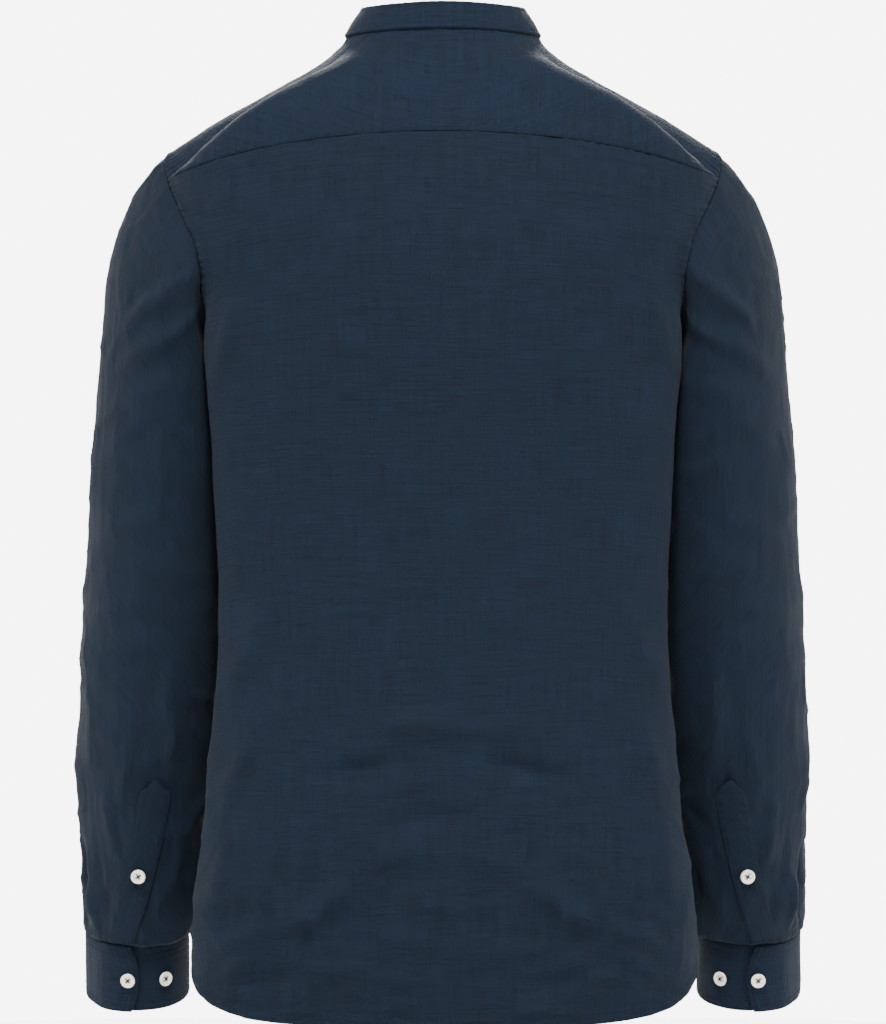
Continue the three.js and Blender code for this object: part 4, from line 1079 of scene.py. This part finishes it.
def buttonhole(place, u, v, du, dv, lift=0.0, long=HOLE_LONG):
    """A bar of close stitches round a slit; du and dv point along the slit, for one millimetre each."""
    parts = np.arange(-HOLE_BEFORE, long - HOLE_BEFORE, HOLE_STITCH)
    points, _, _, outs = surface_frames(place, u + du * parts, v + dv * parts, abs(du) + 1e-3, abs(dv) + 1e-3)
    ahead = unit(np.gradient(points, axis=0))
    side = unit(np.cross(outs, ahead))
    points = points + outs * (lift + HOLE_LIFT)
    parts = [dashes(points + side * (HOLE_INNER * way), points + side * (HOLE_OUTER * way), outs, 0.21, 0.26)
             for way in (1, -1)]
    for k in (0, len(points) - 1):
        end, over = points[k:k + 1], side[k:k + 1] * HOLE_OUTER
        parts.append(dashes(end - over, end + over, outs[k:k + 1], 0.5, 0.36))
    return joined(parts)


def finish_of(context, kind):
    """The material of one kind of surface, made once."""
    colours = context.scene.shirt_colours
    deep, pale = tuple(colours.deep), tuple(colours.pale)
    lighter = tuple(min(1, c * k) for c, k in zip(pale, (0.98, 1.06, 1.14, 1)))
    name = f"shirt_{kind}"
    made = bpy.data.materials.get(name)
    if made:
        return made
    if kind == "linen":
        return linen_finish(name, deep, pale, 1.5, 0.01)
    if kind == "linen_doubled":
        return linen_finish(name, deep, lighter, 1.5, 0.01)
    if kind == "thread":
        return thread_finish(name, tuple(colours.thread))
    return button_finish(name, tuple(colours.button))


def cloth_piece(context, node, name, sheet, kind, lift=0.0, layers=SINGLE, mirrored=False):
    """One piece of cloth that stands for a node of the frame."""
    thick = context.scene.shirt_sizes.cloth / MM * layers
    mesh = shell_mesh(name, sheet, thick, lift, mirrored)
    return place_piece(name, mesh, finish_of(context, kind), (node,))


def thread_piece(context, name, parts, mirrored=False):
    """All the stitching of one piece of cloth."""
    verts, faces = joined(parts, (-1,) if mirrored else (1,))
    return place_piece(name, plain_mesh(name, verts, faces), finish_of(context, "thread"), ())


def declare(cut):
    """Look up the flat cut of a piece, its width, length and area in metres; nothing is done with it."""
    width, length, area = CUTS[cut]


def rows_along(sizes, sheet, sides, distances, lift=0.0, part=None):
    """Rows of stitches at the given distances in from each of the given edges."""
    long = sizes.stitch / MM
    return [stitch_line(*edge_line(sheet, side, distance, lift, part), long)
            for side in sides for distance in distances]


def cuff_part(turn):
    return (CUFF_LAP["end"] - turn) / CUFF_LAP["around"]


def front_v(level):
    """Where a level lies down the strip: from -1 at the neck over 0 at the chest line to 2 at the hem."""
    neck = neck_ring(NECK, np.float64(math.pi))[2]
    return float(np.interp(-level, [-neck, -CHEST_CENTRE, -UNDERARM_CENTRE, -HEM_CENTRE], [-1, 0, 1, 2]))


def finished(made, count):
    """Close an operator, or stop the script where it made less than its count of pieces."""
    if len(made) != count or any(obj.type == "MESH" and not obj.data.polygons for obj in made):
        raise RuntimeError(f"made {len(made)} pieces of {count}")
    return {"FINISHED"}


class SHIRT_OT_back(Operator):
    """Back panel with its folds, shirt-tail hem and stitching"""

    bl_idname = "shirt.back"
    bl_label = "Back panel"

    def execute(self, context):
        sizes = context.scene.shirt_sizes
        sheet = back_sheet(sizes)
        cloth = cloth_piece(context, "back_panel", "back_cloth", sheet, "linen")
        arm = sheet.v[:, 0] <= 1
        rows = rows_along(sizes, sheet, ("left", "right"), SEAM_ROWS, part=arm)
        rows += rows_along(sizes, sheet, ("bottom",), HEM_ROWS)
        threads = thread_piece(context, "back_threads", rows)
        declare("back")
        return finished([cloth, threads], 2)


class SHIRT_OT_yoke(Operator):
    """Yoke over the shoulders, topstitched along the back, the shoulders and the fronts"""

    bl_idname = "shirt.yoke"
    bl_label = "Yoke"

    def execute(self, context):
        sizes = context.scene.shirt_sizes
        sheet = yoke_sheet(sizes)
        cloth = cloth_piece(context, "back_yoke", "yoke_cloth", sheet, "linen_doubled")
        back = np.abs(sheet.u[0]) <= 1
        rows = rows_along(sizes, sheet, ("bottom",), YOKE_ROWS, part=back)
        for over in (sheet.u[0] < -1, sheet.u[0] > 1):
            rows += rows_along(sizes, sheet, ("bottom",), SEAM_ROWS, part=over)
        rows += rows_along(sizes, sheet, ("left", "right"), YOKE_ROWS[:1])
        threads = thread_piece(context, "yoke_threads", rows)
        declare("yoke")
        return finished([cloth, threads], 2)


class SHIRT_OT_fronts(Operator):
    """Left and right fronts, which meet under the front strip"""

    bl_idname = "shirt.fronts"
    bl_label = "Fronts"

    def execute(self, context):
        sizes = context.scene.shirt_sizes
        made = []
        mirror_folds = [(-x, z, -tilt, l, w, h) for x, z, tilt, l, w, h in FRONT_CREASES]
        for side, meet, seed, folds in (("left", FRONTS_MEET, 101, FRONT_CREASES),
                                        ("right", -FRONTS_MEET, 121, mirror_folds)):
            sheet = front_sheet(sizes, meet, seed, folds)
            mirrored = side == "right"
            cloth = cloth_piece(context, f"front_{side}", f"front_cloth_{side}", sheet, "linen",
                                mirrored=mirrored)
            arm = (sheet.v[:, 0] >= 0) & (sheet.v[:, 0] <= 1)
            rows = rows_along(sizes, sheet, ("right",), SEAM_ROWS, part=arm)
            rows += rows_along(sizes, sheet, ("bottom",), HEM_ROWS)
            threads = thread_piece(context, f"front_threads_{side}", rows, mirrored)
            declare(f"front_{side}")
            made += [cloth, threads]
        return finished(made, 4)


class SHIRT_OT_strip(Operator):
    """Buttoned strip down the front with its buttonholes"""

    bl_idname = "shirt.strip"
    bl_label = "Front strip"

    def execute(self, context):
        sizes = context.scene.shirt_sizes
        sheet = strip_sheet()
        cloth = cloth_piece(context, "front_placket", "strip_cloth", sheet, "linen", ON_THE_FRONT)
        rows = rows_along(sizes, sheet, ("left", "right"), STRIP_ROWS, ON_THE_FRONT)
        for level in FRONT_BUTTON_LEVELS:
            v = front_v(level)
            rows.append(buttonhole(front_place, 0, v, 0, v - front_v(level - 1), ON_THE_FRONT))
        threads = thread_piece(context, "strip_threads", rows)
        declare("strip")
        return finished([cloth, threads], 2)


class SHIRT_OT_band(Operator):
    """Standing collar band of doubled cloth, lapped at the front"""

    bl_idname = "shirt.band"
    bl_label = "Collar band"

    def execute(self, context):
        sizes = context.scene.shirt_sizes
        sheet = band_sheet()
        cloth = cloth_piece(context, "collar_band", "band_cloth", sheet, "linen_doubled", layers=DOUBLED)
        rows = rows_along(sizes, sheet, ("top", "bottom", "left", "right"), BAND_ROWS)
        rows.append(buttonhole(band_point, *COLLAR_BUTTON, -BAND_TURN_PER_MM, 0))
        threads = thread_piece(context, "band_threads", rows)
        declare("band")
        return finished([cloth, threads], 2)


class SHIRT_OT_sleeves(Operator):
    """Both sleeves, gathered a little at the armholes and tucked into the cuffs"""

    bl_idname = "shirt.sleeves"
    bl_label = "Sleeves"

    def execute(self, context):
        sizes = context.scene.shirt_sizes
        made = []
        for side, seed, drift in (("left", 201, 0), ("right", 231, 5)):
            sheet = sleeve_sheet(sizes, seed, drift)
            cloth = cloth_piece(context, f"sleeve_{side}", f"sleeve_cloth_{side}", sheet, "linen",
                                mirrored=side == "right")
            declare("sleeve")
            made.append(cloth)
        return finished(made, 2)


class SHIRT_OT_cuffs(Operator):
    """Both cuffs of doubled cloth with their laps and buttonholes"""

    bl_idname = "shirt.cuffs"
    bl_label = "Cuffs"

    def execute(self, context):
        sizes = context.scene.shirt_sizes
        made = []
        _, turn, v = CUFF_BUTTONS[0]
        for side, seed in (("left", 301), ("right", 321)):
            sheet = cuff_sheet(seed)
            mirrored = side == "right"
            cloth = cloth_piece(context, f"cuff_{side}", f"cuff_cloth_{side}", sheet, "linen_doubled",
                                layers=DOUBLED, mirrored=mirrored)
            rows = rows_along(sizes, sheet, ("top", "bottom"), CUFF_ROWS)
            rows += rows_along(sizes, sheet, ("left", "right"), CUFF_ROWS[:1])
            rows.append(buttonhole(cuff_point, cuff_part(turn), v, 1 / CUFF_LONG, 0, long=CUFF_HOLE_LONG))
            threads = thread_piece(context, f"cuff_threads_{side}", rows, mirrored)
            declare("cuff")
            made += [cloth, threads]
        return finished(made, 4)


class SHIRT_OT_towers(Operator):
    """Pointed sleeve plackets with their crossed stitch rows"""

    bl_idname = "shirt.towers"
    bl_label = "Sleeve plackets"

    def execute(self, context):
        sizes = context.scene.shirt_sizes
        made = []
        for side, seed in (("left", 341), ("right", 351)):
            sheet = tower_sheet(seed)
            mirrored = side == "right"
            cloth = cloth_piece(context, f"sleeve_placket_{side}", f"tower_cloth_{side}", sheet, "linen",
                                ON_THE_FRONT, mirrored=mirrored)
            rows = rows_along(sizes, sheet, ("left", "right", "top"), TOWER_ROWS, ON_THE_FRONT)
            rows += rows_along(sizes, sheet, ("top",), TOWER_CROSS_ROWS, ON_THE_FRONT)
            rows.append(buttonhole(tower_point, 0, TOWER_BUTTON_V, 0, 1 / TOWER_LONG, ON_THE_FRONT))
            threads = thread_piece(context, f"tower_threads_{side}", rows, mirrored)
            declare("tower")
            made += [cloth, threads]
        return finished(made, 4)


class SHIRT_OT_buttons(Operator):
    """All buttons, each with its crossed threads"""

    bl_idname = "shirt.buttons"
    bl_label = "Buttons"

    def execute(self, context):
        form, threads = button_form(), button_threads()
        on_strip = CLOTH + 2 * LAP_GAP + BUTTON_AIR
        places = []
        for k, level in enumerate(FRONT_BUTTON_LEVELS):
            frame = surface_frames(front_place, [0], front_v(level), 0.01, 0.01)
            places.append((f"front_button_{k + 1}", frame, on_strip, 1))
        turn, v = COLLAR_BUTTON
        places.append(("collar_button", surface_frames(band_point, [turn], v, -1, 0.02), LAP_GAP, 1))
        for side, way in (("left", 1), ("right", -1)):
            tower = surface_frames(tower_point, [0], TOWER_BUTTON_V, 0.02, 0.02)
            places.append((f"placket_button_{side}", tower, on_strip, way))
            for name, turn, v in CUFF_BUTTONS:
                frame = surface_frames(cuff_point, [cuff_part(turn)], v, 0.01, 0.02)
                places.append((f"{name}_{side}", frame, LAP_GAP, way))
        made = []
        for node, frame, lift, way in places:
            for part, kind, suffix in ((form, "buttons", "face"), (threads, "thread", "threads")):
                verts, faces = joined([set_in(part, frame, lift)], (way,))
                name = f"{node}_{suffix}"
                replaced = (node,) if kind == "buttons" else ()
                mesh = plain_mesh(name, verts, faces)
                made.append(place_piece(name, mesh, finish_of(context, kind), replaced))
        return finished(made, 2 * len(places))


class SHIRT_OT_stage(Operator):
    """Pale floor, soft studio lights and a camera straight behind the shirt"""

    bl_idname = "shirt.stage"
    bl_label = "Stage"

    def execute(self, context):
        floor = bpy.data.meshes.new("floor")
        turns = np.linspace(0, 2 * math.pi, FLOOR_SIDES, endpoint=False)
        rim = [(FLOOR_RADIUS * math.cos(t), FLOOR_RADIUS * math.sin(t), FLOOR_LEVEL) for t in turns]
        floor.from_pydata(rim, [], [list(range(FLOOR_SIDES))])
        pale = Finish("floor")
        pale.surface(Base_Color=(0.93, 0.93, 0.93, 1), Roughness=0.9)
        floor.materials.append(pale.material)
        ground = bpy.data.objects.new("floor", floor)
        context.scene.collection.objects.link(ground)
        world = bpy.data.worlds.new("studio")
        studio = Finish("studio", world, "Background")
        direction = studio.node("ShaderNodeTexCoord")
        height = studio.node("ShaderNodeSeparateXYZ", {}, {0: direction}, 2)
        ranged = {"interpolation_type": "SMOOTHSTEP"}
        start, end = HORIZON["low"]
        below = {0: height, 1: start, 2: end, 3: GLOW["low"], 4: GLOW["level"]}
        below = studio.node("ShaderNodeMapRange", ranged, below)
        start, end = HORIZON["top"]
        above = {0: height, 1: start, 2: end, 3: 1.0, 4: GLOW["top"]}
        above = studio.node("ShaderNodeMapRange", ranged, above)
        studio.surface(Color=(1, 1, 1, 1), Strength=below * above)
        context.scene.world = world
        for name, place, size, power in LIGHTS:
            lamp = bpy.data.lights.new(name, "AREA")
            lamp.shape, lamp.size, lamp.energy = "DISK", size, power
            light = bpy.data.objects.new(name, lamp)
            light.location = place
            light.rotation_euler = (Vector(AIM) - Vector(place)).to_track_quat("-Z", "Y").to_euler()
            context.scene.collection.objects.link(light)
        lens = bpy.data.cameras.new("camera")
        lens.sensor_fit, lens.sensor_height, lens.lens = "VERTICAL", SENSOR, LENS
        camera = bpy.data.objects.new("camera", lens)
        camera.location = CAMERA
        camera.rotation_euler = (math.pi / 2, 0, math.pi)
        context.scene.collection.objects.link(camera)
        context.scene.camera = camera
        return finished([ground, camera], 2)


class SHIRT_PT_panel(Panel):
    """Lists what makes the shirt"""

    bl_label = "Mandarin collar shirt"
    bl_idname = "SHIRT_PT_panel"
    bl_space_type = "VIEW_3D"
    bl_region_type = "UI"
    bl_category = "Shirt"

    def draw(self, context):
        for group in (context.scene.shirt_sizes, context.scene.shirt_colours):
            for name in group.__annotations__:
                self.layout.prop(group, name)
        for operator in OPERATORS:
            self.layout.operator(operator.bl_idname)


OPERATORS = (SHIRT_OT_back, SHIRT_OT_yoke, SHIRT_OT_fronts, SHIRT_OT_strip, SHIRT_OT_band, SHIRT_OT_sleeves,
             SHIRT_OT_cuffs, SHIRT_OT_towers, SHIRT_OT_buttons, SHIRT_OT_stage)
CLASSES = (ShirtSizes, ShirtColours, *OPERATORS, SHIRT_PT_panel)


def register():
    for cls in CLASSES:
        bpy.utils.register_class(cls)
    bpy.types.Scene.shirt_sizes = PointerProperty(type=ShirtSizes)
    bpy.types.Scene.shirt_colours = PointerProperty(type=ShirtColours)


def unregister():
    del bpy.types.Scene.shirt_colours
    del bpy.types.Scene.shirt_sizes
    for cls in reversed(CLASSES):
        bpy.utils.unregister_class(cls)


def main():
    """Make the shirt and its stage."""
    register()
    bpy.ops.shirt.back()
    bpy.ops.shirt.yoke()
    bpy.ops.shirt.fronts()
    bpy.ops.shirt.strip()
    bpy.ops.shirt.band()
    bpy.ops.shirt.sleeves()
    bpy.ops.shirt.cuffs()
    bpy.ops.shirt.towers()
    bpy.ops.shirt.buttons()
    bpy.ops.shirt.stage()


if __name__ == "__main__":
    main()
